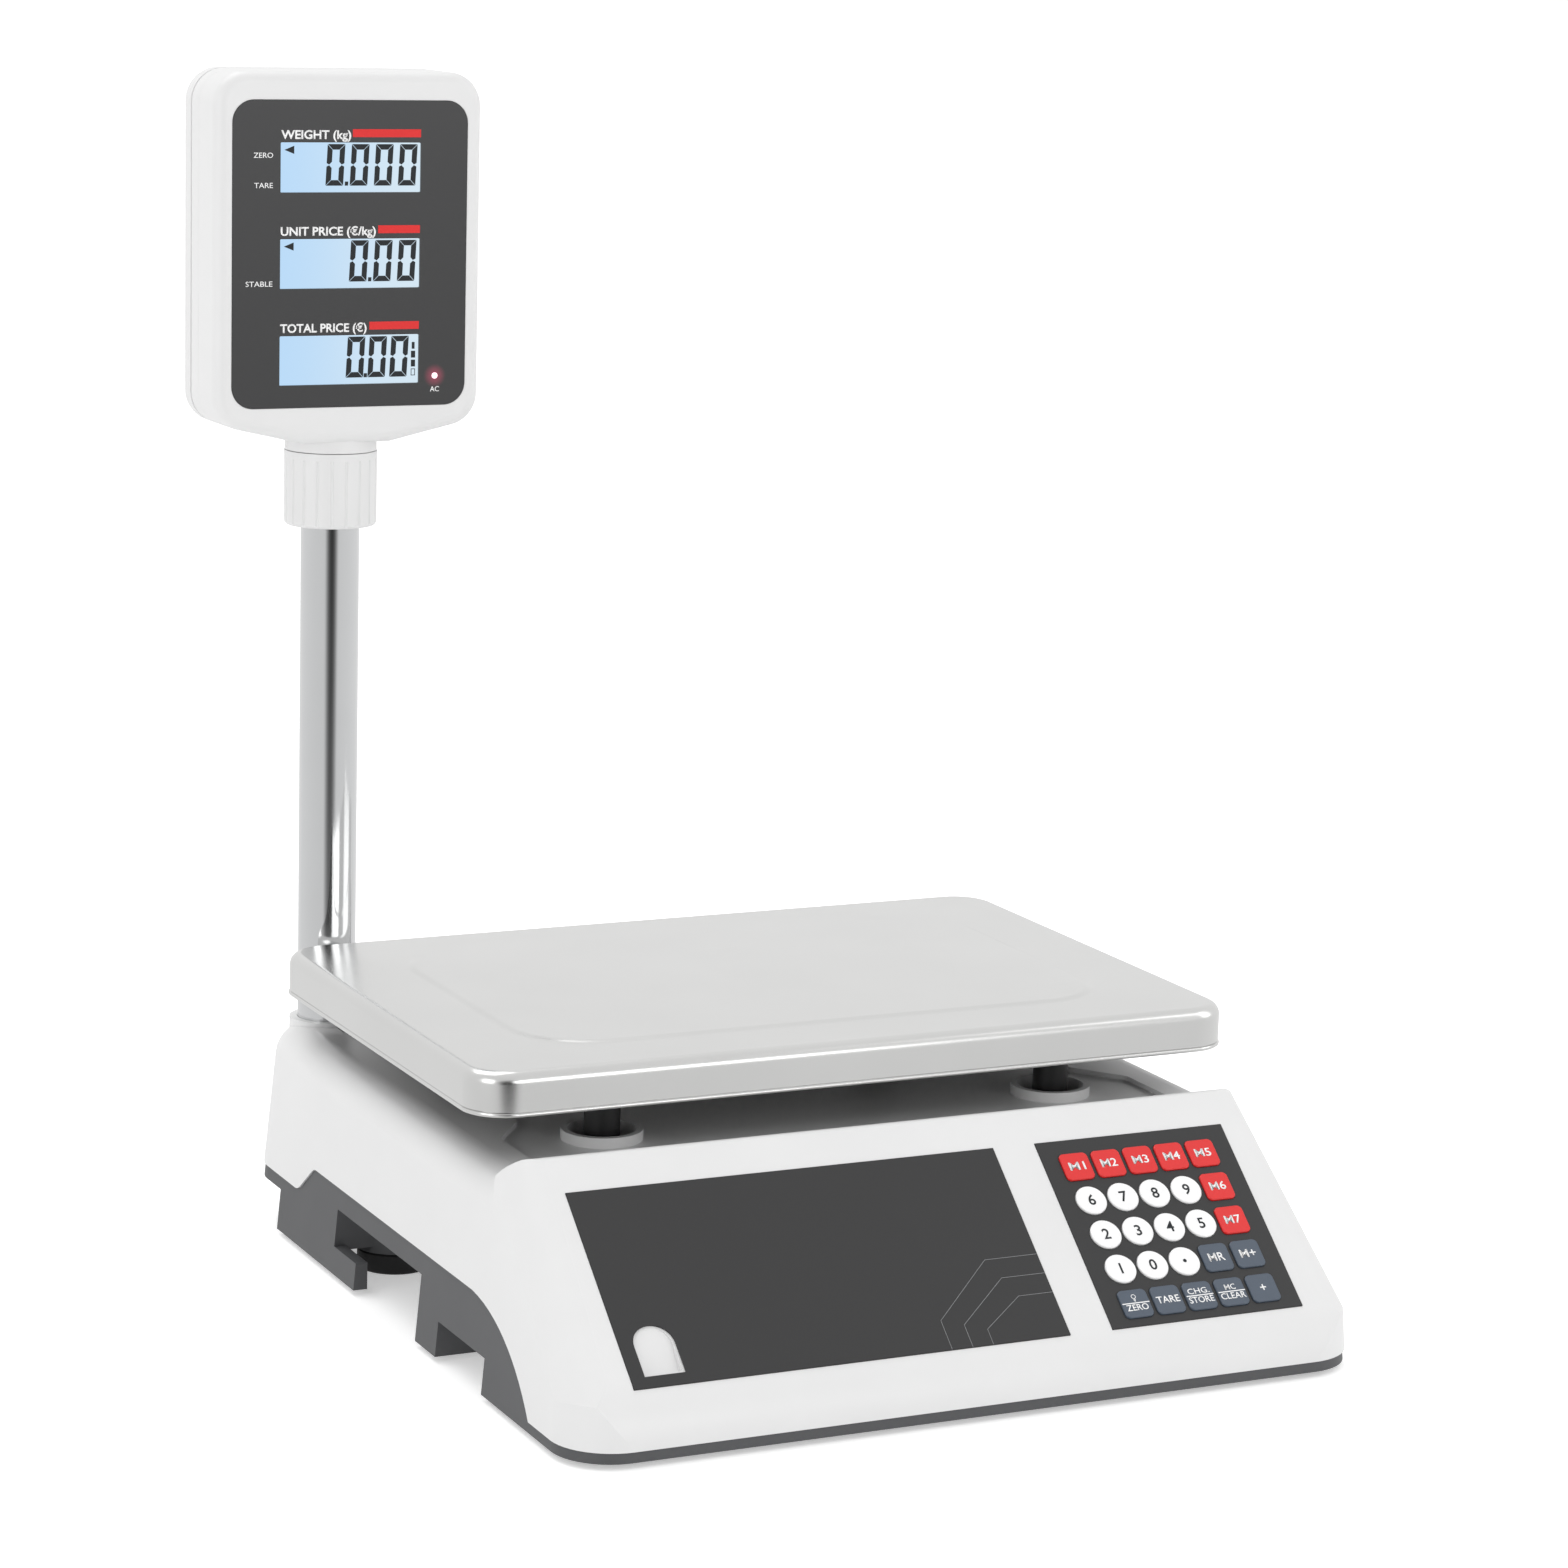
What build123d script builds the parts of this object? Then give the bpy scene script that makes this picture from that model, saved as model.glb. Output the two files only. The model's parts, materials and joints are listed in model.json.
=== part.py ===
from build123d import *
import math
import os

# A price-computing counter scale with a display head on a pole.
# Frame: +Z up, +X to the operator's right, +Y to the back, millimetres.
# The origin is on the ground, at the middle of the base's width, 185 mm behind its front.

# ---- pan: its size sets the base's width and depth ----
PAN_Y = 38.0                # middle of the pan
PAN_D = 233.0
PAN_BOTTOM_Z, PAN_TOP_Z = 108.0, 126.0
PAN_SHEET, PAN_CORNER_R, PAN_ROLL_R = 1.0, 19.0, 4.5
PAN_IN = 3.0                # how far its ends stand in from the base's sides

# ---- pole, its collar and where it stands ----
POLE_R, POLE_WALL = 12.5, 1.2
POLE_BOTTOM_Z, POLE_TOP_Z = 44.0, 336.0
POLE_IN = 31.0              # from the base's side to the pole's axis
POLE_PAN_GAP = 1.5
POLE_Y = PAN_Y + PAN_D / 2 + POLE_PAN_GAP + POLE_R
SOCKET_WALL, SOCKET_TOP_Z, SOCKET_GAP = 1.6, 70.0, 0.05
POLE_BOSS_R, POLE_BOSS_TOP_Z = POLE_R + 3.5, 90.0
SLEEVE_R = POLE_R + 7.25
SLEEVE_BOTTOM_Z, SLEEVE_TOP_Z = POLE_TOP_Z - 30.0, POLE_TOP_Z + 2.0
SLEEVE_FOOT_R, SLEEVE_BAND = 2.0, 3.0
FLUTES, FLUTE_R, FLUTE_OUT = 20, 0.9, 0.55
JOURNAL_R, JOURNAL_GAP, JOURNAL_TOP_Z = POLE_R + 3.1, 0.08, POLE_TOP_Z + 16.0
JOURNAL_BORE_IN = 1.5
CABLE_R = 2.5

# ---- base envelope ----
BASE_HALF_W = 173.0         # at the ground, the side walls lean in above it
SIDE_LEAN = 5.2             # degrees
FRONT_Y = -185.0
BACK_Y = POLE_Y + POLE_R + 7.0
BACK_LEAN = 2.0             # degrees
DECK_Z = 88.0
LIP_Y, LIP_Z = -94.0, 97.0  # sharp top edge of the sloped front
SLOPE = 39.8                # degrees from level
LIP_RUN = 9.0               # how far the lip falls back to the deck
LIP_R = 3.0
FRONT_R = 30.0              # the slope turns down into the front
CORNER_R = 24.0             # upright corners
SLOPE_SIDE_R = 16.0
SHOULDER_R = 14.0
COVER_WALL = 2.5
HOUSING_WALL = 2.4
HOUSING_SET_BACK = 0.8      # the housing stands in from the cover
SEAM_GAP = 0.2
COVER_FRONT_Z = 7.0         # lowest edge of the cover
HOUSING_BOTTOM_Z = 2.5
# the cover's lower edge in side view, as (y, z)
SEAM_FRONT_Y, SEAM_ARC_MIDDLE, SEAM_CREST = -139.5, (-117.0, 26.0), (-74.0, 39.5)
SEAM_DIP_TOP, SEAM_DIP = (BACK_Y - 81.0, 39.5), (BACK_Y - 64.0, 26.0)
SEAM_DIP_R, SEAM_BACK_Z = 9.0, 27.0

# ---- housing floor levels (undersides) and where they change ----
FLOOR_FRONT_Z = 12.0
FLOOR_SMALL_Z = 17.0
FLOOR_MID_Z = 30.0
FLOOR_REAR_Z = 12.0
FLOOR_BACK_Z = 20.0
STEP_FRONT_Y, STEP_LEG_Y, STEP_MID_Y = -91.0, -42.0, -20.0
STEP_BACK_Y = BACK_Y - 42.0
BATTERY_Y = STEP_BACK_Y - 25.0
STEP_REAR_Y = BATTERY_Y - 44.0
LEDGE_Y, LEDGE_Z = STEP_REAR_Y - 26.0, 14.0
LEG_DEPTH = 24.0
LEG_WALL = 4.0              # extra wall left at the housing's open ends

# ---- deck details ----
RECESS_DEPTH, RECESS_R = 2.0, 5.0
RECESS_WIDE, RECESS_NARROW = BASE_HALF_W - 30.0, BASE_HALF_W - 46.0
RECESS_FRONT_YS = (-36.0, -15.0)
RECESS_REAR_YS = (BACK_Y - 92.0, BACK_Y - 76.0)
RECESS_END_Y = BACK_Y - 22.0

# ---- pan's width, its field and what carries it ----
PAN_W = 2 * (BASE_HALF_W - PAN_IN)
FIELD_W, FIELD_D, FIELD_R, FIELD_RISE = PAN_W - 78.0, PAN_D - 65.0, 30.0, 1.0
FIELD_TAPER, FIELD_SUNK = 60, 0.2
POST_X, POST_REACH_Y, POST_R = PAN_W / 2 - 68.0, PAN_D / 2 - 35.8, 7.3
POST_FOOT, POST_FOOT_H, POST_EDGE = 3.0, 3.0, 0.6
POST_BORE_R, POST_BORE_DEPTH = 2.0, 12.0
COLLAR_HOLE_R = POST_R + 6.7
COLLAR_R, COLLAR_RISE = COLLAR_HOLE_R + 2.6, 4.3
CUP_GAP, CUP_WALL, CUP_DEPTH = 0.2, 1.5, 9.0
SPIDER_BOTTOM_Z, SPIDER_T, SPIDER_ARM = 61.0, 4.0, 16.0
SPIDER_PLATE_X, SPIDER_PLATE_HALF_D = (-28.0, 68.0), 22.0
CELL_L, CELL_W, CELL_H = 130.0, 30.0, 22.0
CELL_BOTTOM_Z, CELL_SEAT = 36.0, 36.0
CELL_HOLE_R, CELL_HOLE_X, CELL_SLOT = 8.0, 11.0, 5.0
CELL_BOLT_R, CELL_BOLT_X = 2.5, (38.0, 54.0)
BOLT_HEAD_R, BOLT_HEAD_H, BOLT_LOW_TOP, BOLT_HIGH_FOOT = 4.25, 3.0, 12.0, 10.0

# ---- front panels and keys, in the plane of the slope ----
PANEL_DROP = 18.2           # from the lip's sharp edge to the panels' top edge
KEY_SQUARE, KEY_SQUARE_R, KEY_GAP, KEY_EDGE = 12.8, 2.2, 0.2, 0.3
KEY_R = KEY_SQUARE / 2 + 0.2
KEY_COLUMNS, KEY_LINES = 5, 5
KEY_PITCH_X, KEY_PITCH_Y = KEY_SQUARE + 1.8, KEY_SQUARE + 3.7
KEY_MARGIN_LEFT, KEY_MARGIN_RIGHT, KEY_MARGIN_TOP, KEY_MARGIN_FOOT = 7.8, 8.2, 7.0, 3.7
PANEL_H = KEY_MARGIN_TOP + (KEY_LINES - 1) * KEY_PITCH_Y + KEY_SQUARE + KEY_MARGIN_FOOT
KEYPAD_W = KEY_MARGIN_LEFT + (KEY_COLUMNS - 1) * KEY_PITCH_X + KEY_SQUARE + KEY_MARGIN_RIGHT
KEYPAD_X = (BASE_HALF_W - 27.0 - KEYPAD_W, BASE_HALF_W - 27.0)
LABEL_X = (-(BASE_HALF_W - 27.5), KEYPAD_X[0] - 18.6)
PANEL_T, PANEL_SUNK, PANEL_GAP = 0.8, 0.5, 0.15
KEY_X0, KEY_Y0 = KEYPAD_X[0] + KEY_MARGIN_LEFT + KEY_SQUARE / 2, KEY_MARGIN_TOP + KEY_SQUARE / 2
KEY_PROUD = 0.8
FLANGE, FLANGE_T, FLANGE_GAP = KEY_SQUARE / 2 + 0.6, 0.8, 0.15
KEY_STEM_R, KEY_STEM_L, KEY_TRAVEL = 2.0, 4.0, 0.8
DOME_R, DOME_H, DOME_GAP, BOARD_T, BOARD_MARGIN = 3.0, 1.0, 0.15, 1.6, 1.2
BOARD_POST_R = 1.9
WINDOW_LEDGE = 2.0
ARCH_W, ARCH_H, ARCH_LEFT, ARCH_BOTTOM = 17.0, 22.0, 6.0, 5.0
ARCH_RIM, ARCH_DEEP, ARCH_SHALLOW = 1.0, 3.4, 0.4

# ---- feet ----
FOOT_X, FOOT_FRONT_Y, FOOT_REAR_Y = BASE_HALF_W - 33.0, -127.0, STEP_REAR_Y + 10.0
PAD_R, PAD_H, PAD_FOOT_R, PAD_EDGE = 16.0, 9.0, 1.2, 1.0
PAD_GAP = 0.3
STUD_R, STUD_TOP_Z, STUD_GAP = 4.0, 27.0, 0.1
HEX_R, HEX_Z0, HEX_Z1, HEX_GAP = 6.5, 2.2, 6.7, 0.2
BOSS_FRONT_R, BOSS_REAR_R, BOSS_ROOF = 12.0, 17.0, 3.0

# ---- display head ----
POLE_X = -(BASE_HALF_W - POLE_IN)
HEAD_W, HEAD_D = 118.0, 44.0
HEAD_NECK_Z = SLEEVE_TOP_Z + 5.0
HEAD_CORNER_Z, HEAD_TOP_Z = HEAD_NECK_Z + 9.0, HEAD_NECK_Z + 155.0
HEAD_CORNER_R, HEAD_EDGE_R, HEAD_WALL = 14.0, 5.0, 2.4
LOCK_R, LOCK_H, LOCK_GAP = JOURNAL_R + 1.6, 3.2, 0.2
LOCK_Z0 = HEAD_NECK_Z + 3.2
LOCK_Z1 = LOCK_Z0 + LOCK_H
NECK_R, NECK_GAP = LOCK_R + 2.3, 0.3
SEAM_GROOVE_Y, SEAM_GROOVE, SEAM_GROOVE_W = 9.0, 0.6, 1.6
SHELL_GAP = 0.1
WINDOW_W, WINDOW_H, WINDOW_DROPS, WINDOW_R = 62.0, 20.6, (17.6, 57.5, 97.8), 0.4
FACE_W, FACE_BOTTOM_Z, FACE_R = HEAD_W - 14.0, HEAD_CORNER_Z + 6.5, 9.5
FACE_H = HEAD_TOP_Z - 11.5 - FACE_BOTTOM_Z
FACE_T, FACE_SUNK = 1.4, 1.2
LCD_W, LCD_H, LCD_T = 68.0, 26.0, 5.0
LCD_ROOM, LCD_SIDE_ROOM = 0.9, 0.3
GLASS_GAP, GLASS_RISE = 0.15, 0.9
HEAD_BOARD_W, HEAD_BOARD_H, HEAD_LINK = 88.0, 112.0, (8.0, 6.0)
HEAD_LINK_X = 30.0
HEAD_SCREW_X = HEAD_W / 2 - 6.0
HEAD_SCREW_ZS = (FACE_BOTTOM_Z + 9.5, FACE_BOTTOM_Z + FACE_H - 6.5)
HEAD_SCREW_R, HEAD_SCREW_HEAD_R, HEAD_SCREW_HEAD_H, HEAD_BOSS_R = 1.5, 2.8, 2.3, 3.4

# ---- screws and bosses that close the base ----
SCREW_X, SCREW_YS = BASE_HALF_W - 23.0, (-60.0, LEDGE_Y - 1.0)
SCREW_BOSS_R, SCREW_R, SCREW_HEAD_R, SCREW_HEAD_H = 5.0, 2.0, 3.6, 2.6
SCREW_GAP, SCREW_HEAD_GAP = 0.2, 0.3
BOSS_SEAM_Z, SCREW_TIP_Z = 45.0, 60.0

# ---- battery, boards, inlet and switch ----
BATTERY = (134.0, 34.0, 60.0)
BATTERY_EDGE_R, TERMINAL_X, TERMINAL = 2.0, 55.0, (6.0, 2.0, 5.0)
DOOR_MARGIN_X, DOOR_MARGIN_Y, DOOR_GAP = 5.0, 4.0, 0.3
DOOR_TAB_X, DOOR_TAB, DOOR_TAB_T = BATTERY[0] / 2 + DOOR_MARGIN_X + 6.0, 12.0, 2.0
DOOR_HEAD_H = 2.0
MAIN_BOARD = (66.0, 88.0, 1.6)
MAIN_BOARD_POS = (-(BASE_HALF_W - 65.0), 27.0)
MAIN_BOARD_Z, BOARD_PILLAR_R = 38.0, 3.0
# on the main board, as (x, y) of the low corner from the board's middle, then the size
TRANSFORMER, CHIP = (-22.0, -36.0, 40.0, 32.0, 30.0), (-10.0, 10.0, 16.0, 16.0, 2.0)
CABLE_PLUG = (16.0, 8.0, 7.0)
INLET_Y, SWITCH_Y, SIDE_FIT_Z = BACK_Y - 50.0, BACK_Y - 88.0, 58.0
INLET_W, INLET_H, INLET_DEPTH, INLET_WALL = 27.0, 20.0, 16.0, 3.0
INLET_PINS, INLET_PIN, INLET_PIN_TOP = ((-7.0, -2.0), (0.0, 2.0), (7.0, -2.0)), (2.0, 4.0), -4.5
SWITCH_W, SWITCH_H, SWITCH_DEPTH = 13.0, 19.5, 12.0
FLANGE_EDGE, SIDE_FLANGE_T = 1.8, 1.6
ROCKER_W, ROCKER_H, ROCKER_GAP, ROCKER_SWING = 9.6, 15.0, 0.2, 0.9
ROCKER_PIN_R, ROCKER_PIN_GAP = 1.2, 0.05
ROCKER_AXIS_Z = -3.0        # below the side wall's face
ROCKER_REST = 7.0           # degrees, tipped to the off side
ROCKER_RISE, ROCKER_HOLLOW = 1.4, 1.8

FAR = 600.0
tan, cos, sin, radians = math.tan, math.cos, math.sin, math.radians


# ---------------------------------------------------------------- helpers
def block(x0, x1, y0, y1, z0, z1):
    """A box given by its two corners."""
    return Pos((x0 + x1) / 2, (y0 + y1) / 2, (z0 + z1) / 2) * Box(x1 - x0, y1 - y0, z1 - z0)


def rod(x, y, z0, z1, r):
    """An upright cylinder from z0 to z1."""
    return Pos(x, y, (z0 + z1) / 2) * Cylinder(r, z1 - z0)


def tube(x, y, z0, z1, r_out, r_in):
    return rod(x, y, z0, z1, r_out) - rod(x, y, z0 - 1, z1 + 1, r_in)


def side_view(points):
    """A region drawn as (y, z) points, as a face that looks along X."""
    return Plane.YZ * make_face(Polyline(*points, close=True))


def across(face, reach=FAR):
    """A face that looks along X, pushed through the whole width."""
    return extrude(face, amount=reach, dir=(1, 0, 0), both=True)


def save(node, *solids):
    parts = [s for shape in solids for s in shape.solids()]
    shape = parts[0] if len(parts) == 1 else Compound(label=node, children=parts)
    shape.label = node
    export_step(shape, f"parts/{node}.step")


# ---------------------------------------------------------------- base envelope
def leaning_sides(inset, low, top):
    """Everything between the two side walls, from low to top."""
    lean = tan(radians(SIDE_LEAN))
    half_low = BASE_HALF_W - inset - low * lean
    half_top = BASE_HALF_W - inset - top * lean
    front = Plane.XZ * make_face(
        Polyline((-half_low, low), (half_low, low), (half_top, top), (-half_top, top), close=True)
    )
    return extrude(front, amount=FAR, both=True)


def upright_prism(inset):
    """Leaning sides and back with rounded upright corners, sunk by inset."""
    low, top = -20.0, 130.0
    sides = leaning_sides(inset, low, top)
    front_y = FRONT_Y + inset
    back_lean = tan(radians(BACK_LEAN))
    back_low = BACK_Y - inset - low * back_lean
    back_top = BACK_Y - inset - top * back_lean
    depth = across(side_view([(front_y, low), (back_low, low), (back_top, top), (front_y, top)]))
    prism = sides & depth
    upright = [e for e in prism.edges() if abs((e @ 1 - e @ 0).Z) > top / 2]
    return fillet(upright, CORNER_R - inset)


def slope_z(y):
    """Height of the sloped front's plane above a place on the ground."""
    return LIP_Z + (y - LIP_Y) * tan(radians(SLOPE))


def deck_solid(prism, inset):
    """The flat rear part, with soft shoulders."""
    front = FRONT_Y / 2
    low = prism & block(-FAR, FAR, front, FAR, -FAR, DECK_Z - inset)
    rim = [e for e in low.edges() if e.center().Z > DECK_Z - inset - 1e-3 and e.center().Y > front + 1e-3]
    return fillet(rim, SHOULDER_R - inset) - block(-FAR, FAR, -FAR, LIP_Y - 3, -FAR, FAR)


def slope_solid(prism, inset):
    """The sloped front with its lip, rounded along both sides."""
    drop = inset / cos(radians(SLOPE))
    y0, y1 = FRONT_Y - 60, -40.0
    under = across(side_view([(y0, -60), (y1, -60), (y1, slope_z(y1) - drop), (y0, slope_z(y0) - drop)]))
    wedge = leaning_sides(inset, -20.0, 160.0) & under
    long_edges = [e for e in wedge.edges() if abs((e @ 1 - e @ 0).Y) > -LIP_Y - 4]
    ridge = [e for e in long_edges if abs(e.center().X) > 50 and e.center().Z > 0]
    wedge = fillet(ridge, SLOPE_SIDE_R - inset)
    outline = make_face(
        Polyline(
            (FRONT_Y, -40), (LIP_Y + LIP_RUN, -40), (LIP_Y + LIP_RUN, DECK_Z),
            (LIP_Y, LIP_Z), (FRONT_Y, slope_z(FRONT_Y)), close=True,
        )
    )
    if inset:
        outline = offset(outline, amount=-inset, kind=Kind.INTERSECTION)
    nose = [v for v in outline.vertices() if v.X < FRONT_Y + inset + 1 and v.Y > 0]
    outline = fillet(nose, FRONT_R - inset)
    lip = [v for v in outline.vertices() if v.Y > DECK_Z + 2]
    outline = fillet(lip, max(LIP_R - inset, 0.5))
    return wedge & prism & across(Plane.YZ * outline)


def base_solid(inset):
    prism = upright_prism(inset)
    return deck_solid(prism, inset) + slope_solid(prism, inset)


def seam_region(shift):
    """Everything below the cover's wavy lower edge, moved down by shift."""
    face = make_face(
        Polyline(
            SEAM_CREST, SEAM_DIP_TOP, SEAM_DIP, (FAR, SEAM_BACK_Z), (FAR, -60), (-FAR, -60),
            (-FAR, COVER_FRONT_Z), (SEAM_FRONT_Y, COVER_FRONT_Z),
        )
        + ThreePointArc((SEAM_FRONT_Y, COVER_FRONT_Z), SEAM_ARC_MIDDLE, SEAM_CREST)
    )
    dip = [v for v in face.vertices() if (v.X, v.Y) in (SEAM_DIP_TOP, SEAM_DIP)]
    return across(Pos(0, 0, -shift) * (Plane.YZ * fillet(dip, SEAM_DIP_R)))


SLOPE_PLANE = Plane(
    origin=(
        0,
        LIP_Y - PANEL_DROP * cos(radians(SLOPE)),
        LIP_Z - PANEL_DROP * sin(radians(SLOPE)),
    ),
    x_dir=(1, 0, 0),
    z_dir=(0, -sin(radians(SLOPE)), cos(radians(SLOPE))),
)


def on_slope(x0, x1, y0, y1, z0, z1):
    """A box in the slope's own frame: y up the slope from the panels' top edge, z outwards."""
    return SLOPE_PLANE * block(x0, x1, y0, y1, z0, z1)


def slope_rod(x, y, z0, z1, r):
    return SLOPE_PLANE * rod(x, y, z0, z1, r)


def arch(margin, z0, z1):
    """An arched plug in the slope's frame: square foot, round head."""
    x_mid = LABEL_X[0] + ARCH_LEFT + ARCH_W / 2
    half = ARCH_W / 2 - margin
    foot = -PANEL_H + ARCH_BOTTOM + margin
    spring = -PANEL_H + ARCH_BOTTOM + ARCH_H - ARCH_W / 2
    shape = block(x_mid - half, x_mid + half, foot, spring, z0, z1) + rod(x_mid, spring, z0, z1, half)
    return SLOPE_PLANE * shape


def arch_scoop():
    """The pocket inside the arch: it gets deeper towards the foot."""
    foot = -PANEL_H + ARCH_BOTTOM
    head = foot + ARCH_H
    floor = Plane.YZ * make_face(
        Polyline((foot, -ARCH_DEEP), (head, -ARCH_SHALLOW), (head, 3), (foot, 3), close=True)
    )
    return arch(ARCH_RIM, -ARCH_DEEP, 2) & (SLOPE_PLANE * across(floor))


# ---------------------------------------------------------------- keys
KEY_ROWS = [
    ["m1", "m2", "m3", "m4", "m5"],
    ["6", "7", "8", "9", "m6"],
    ["2", "3", "4", "5", "m7"],
    ["1", "0", "point", "mr", "m_plus"],
    ["zero", "tare", "store", "clear", "plus"],
]
KEYS = {
    name: (KEY_X0 + col * KEY_PITCH_X, -KEY_Y0 - row * KEY_PITCH_Y)
    for row, names in enumerate(KEY_ROWS)
    for col, name in enumerate(names)
}
PANEL_TOP = PANEL_T - PANEL_SUNK
FLANGE_TOP = -PANEL_SUNK - FLANGE_GAP
STEM_END = FLANGE_TOP - FLANGE_T - KEY_STEM_L
BOARD_TOP = STEM_END - KEY_TRAVEL - DOME_GAP - DOME_H


def is_round(name):
    return name.isdigit() or name == "point"


def key_cap(name, grow, z0, z1):
    """The cap's outline as a plug, round for the numbers and square for the rest."""
    x, y = KEYS[name]
    if is_round(name):
        return slope_rod(x, y, z0, z1, KEY_R + grow)
    half = KEY_SQUARE / 2 + grow
    plug = block(x - half, x + half, y - half, y + half, z0, z1)
    return SLOPE_PLANE * fillet(plug.edges().filter_by(Axis.Z), KEY_SQUARE_R + grow)


def key(name):
    x, y = KEYS[name]
    if is_round(name):
        flange = slope_rod(x, y, FLANGE_TOP - FLANGE_T, FLANGE_TOP, FLANGE)
    else:
        flange = on_slope(x - FLANGE, x + FLANGE, y - FLANGE, y + FLANGE, FLANGE_TOP - FLANGE_T, FLANGE_TOP)
    cap = key_cap(name, 0, FLANGE_TOP - 0.1, PANEL_TOP + KEY_PROUD)
    out = SLOPE_PLANE.z_dir
    top = cap.edges().group_by(Axis((0, 0, 0), (out.X, out.Y, out.Z)))[-1]
    cap = chamfer(top, KEY_EDGE)
    return cap + flange + slope_rod(x, y, STEM_END, FLANGE_TOP - 0.1, KEY_STEM_R)


def panel(x0, x1):
    gap = PANEL_GAP
    return on_slope(x0 + gap, x1 - gap, -PANEL_H + gap, -gap, -PANEL_SUNK, PANEL_TOP)


def front_overlay():
    return panel(*LABEL_X) - arch(0, -2, 2)


def keypad_overlay():
    plate = panel(*KEYPAD_X)
    for name in KEYS:
        plate -= key_cap(name, KEY_GAP, -2, 2)
    return plate


def keypad_board():
    board = on_slope(
        KEYPAD_X[0] - BOARD_MARGIN, KEYPAD_X[1] + BOARD_MARGIN,
        -PANEL_H - BOARD_MARGIN, BOARD_MARGIN, BOARD_TOP - BOARD_T, BOARD_TOP,
    )
    for x, y in KEYS.values():
        board += slope_rod(x, y, BOARD_TOP - 0.2, BOARD_TOP + DOME_H, DOME_R)
    return board


# ---------------------------------------------------------------- cover
SIDE_PLANE = Plane(
    origin=(BASE_HALF_W - SIDE_FIT_Z * tan(radians(SIDE_LEAN)), 0, SIDE_FIT_Z),
    x_dir=(0, 1, 0),
    z_dir=(cos(radians(SIDE_LEAN)), 0, sin(radians(SIDE_LEAN))),
)


def on_side(y, half_y, half_z, z0, z1):
    """A box on the right side wall: centred at y, z outwards from the wall's face."""
    return SIDE_PLANE * block(y - half_y, y + half_y, -half_z, half_z, z0, z1)


def post_places():
    return [(sx * POST_X, PAN_Y + sy * POST_REACH_Y) for sx in (-1, 1) for sy in (-1, 1)]


def screw_places():
    return [(sx * SCREW_X, y) for sx in (-1, 1) for y in SCREW_YS]


def deck_recess():
    """The shallow field in the deck, wider at its four corners."""
    y0 = LIP_Y + LIP_RUN
    y1, y2 = RECESS_FRONT_YS
    y3, y4 = RECESS_REAR_YS
    half = [
        (0, y0), (RECESS_WIDE, y0), (RECESS_WIDE, y1), (RECESS_NARROW, y2),
        (RECESS_NARROW, y3), (RECESS_WIDE, y4), (RECESS_WIDE, RECESS_END_Y), (0, RECESS_END_Y),
    ]
    other = [(-x, y) for x, y in reversed(half[1:-1])]
    outline = make_face(Polyline(*half, *other, close=True))
    field = fillet(outline.vertices().filter_by(lambda v: v.Y > y0 + 1), RECESS_R)
    return extrude(Pos(0, 0, DECK_Z - RECESS_DEPTH) * field, amount=20)


def keypad_window(z0):
    """The opening behind the keypad's overlay."""
    ledge = WINDOW_LEDGE
    return on_slope(KEYPAD_X[0] + ledge, KEYPAD_X[1] - ledge, -PANEL_H + ledge, -ledge, z0, 1)


def upper_cover(outer):
    cover = outer - base_solid(COVER_WALL) - seam_region(0)
    cover -= deck_recess()
    deck = DECK_Z - RECESS_DEPTH
    wide = RECESS_WIDE + 4
    cover += block(-wide, wide, LIP_Y + LIP_RUN - 2, RECESS_END_Y + 2, deck - COVER_WALL, deck)
    for x, y in post_places():
        cover += tube(x, y, deck - 1, deck + COLLAR_RISE, COLLAR_R, COLLAR_HOLE_R)
        cover -= rod(x, y, deck - 10, deck + 10, COLLAR_HOLE_R)
    for x, y in screw_places():
        cover += rod(x, y, BOSS_SEAM_Z, deck - 0.5, SCREW_BOSS_R)
        cover -= rod(x, y, BOSS_SEAM_Z - 1, SCREW_TIP_Z, SCREW_R)
    cover += rod(POLE_X, POLE_Y, SOCKET_TOP_Z + 1, POLE_BOSS_TOP_Z, POLE_BOSS_R)
    cover -= rod(POLE_X, POLE_Y, SOCKET_TOP_Z - 5, POLE_BOSS_TOP_Z + 5, POLE_R + PANEL_GAP)
    for x0, x1 in (LABEL_X, KEYPAD_X):
        cover -= on_slope(x0, x1, -PANEL_H, 0, -PANEL_SUNK, 10)
    cover -= keypad_window(-8)
    cover += arch(-2.5, -ARCH_DEEP - COVER_WALL, -COVER_WALL + 0.5)
    cover -= arch_scoop()
    for x in KEYPAD_X:
        for y in (-PANEL_H, 0.0):
            cover += slope_rod(x, y, BOARD_TOP, -COVER_WALL + 0.5, BOARD_POST_R) - keypad_window(-20)
    cover -= on_side(INLET_Y, INLET_W / 2, INLET_H / 2, -10, 10)
    cover -= on_side(SWITCH_Y, SWITCH_W / 2, SWITCH_H / 2, -10, 10)
    return cover


# ---------------------------------------------------------------- housing
def foot_places():
    return {
        "front_left": (-FOOT_X, FOOT_FRONT_Y), "front_right": (FOOT_X, FOOT_FRONT_Y),
        "rear_left": (-FOOT_X, FOOT_REAR_Y), "rear_right": (FOOT_X, FOOT_REAR_Y),
    }


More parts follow.
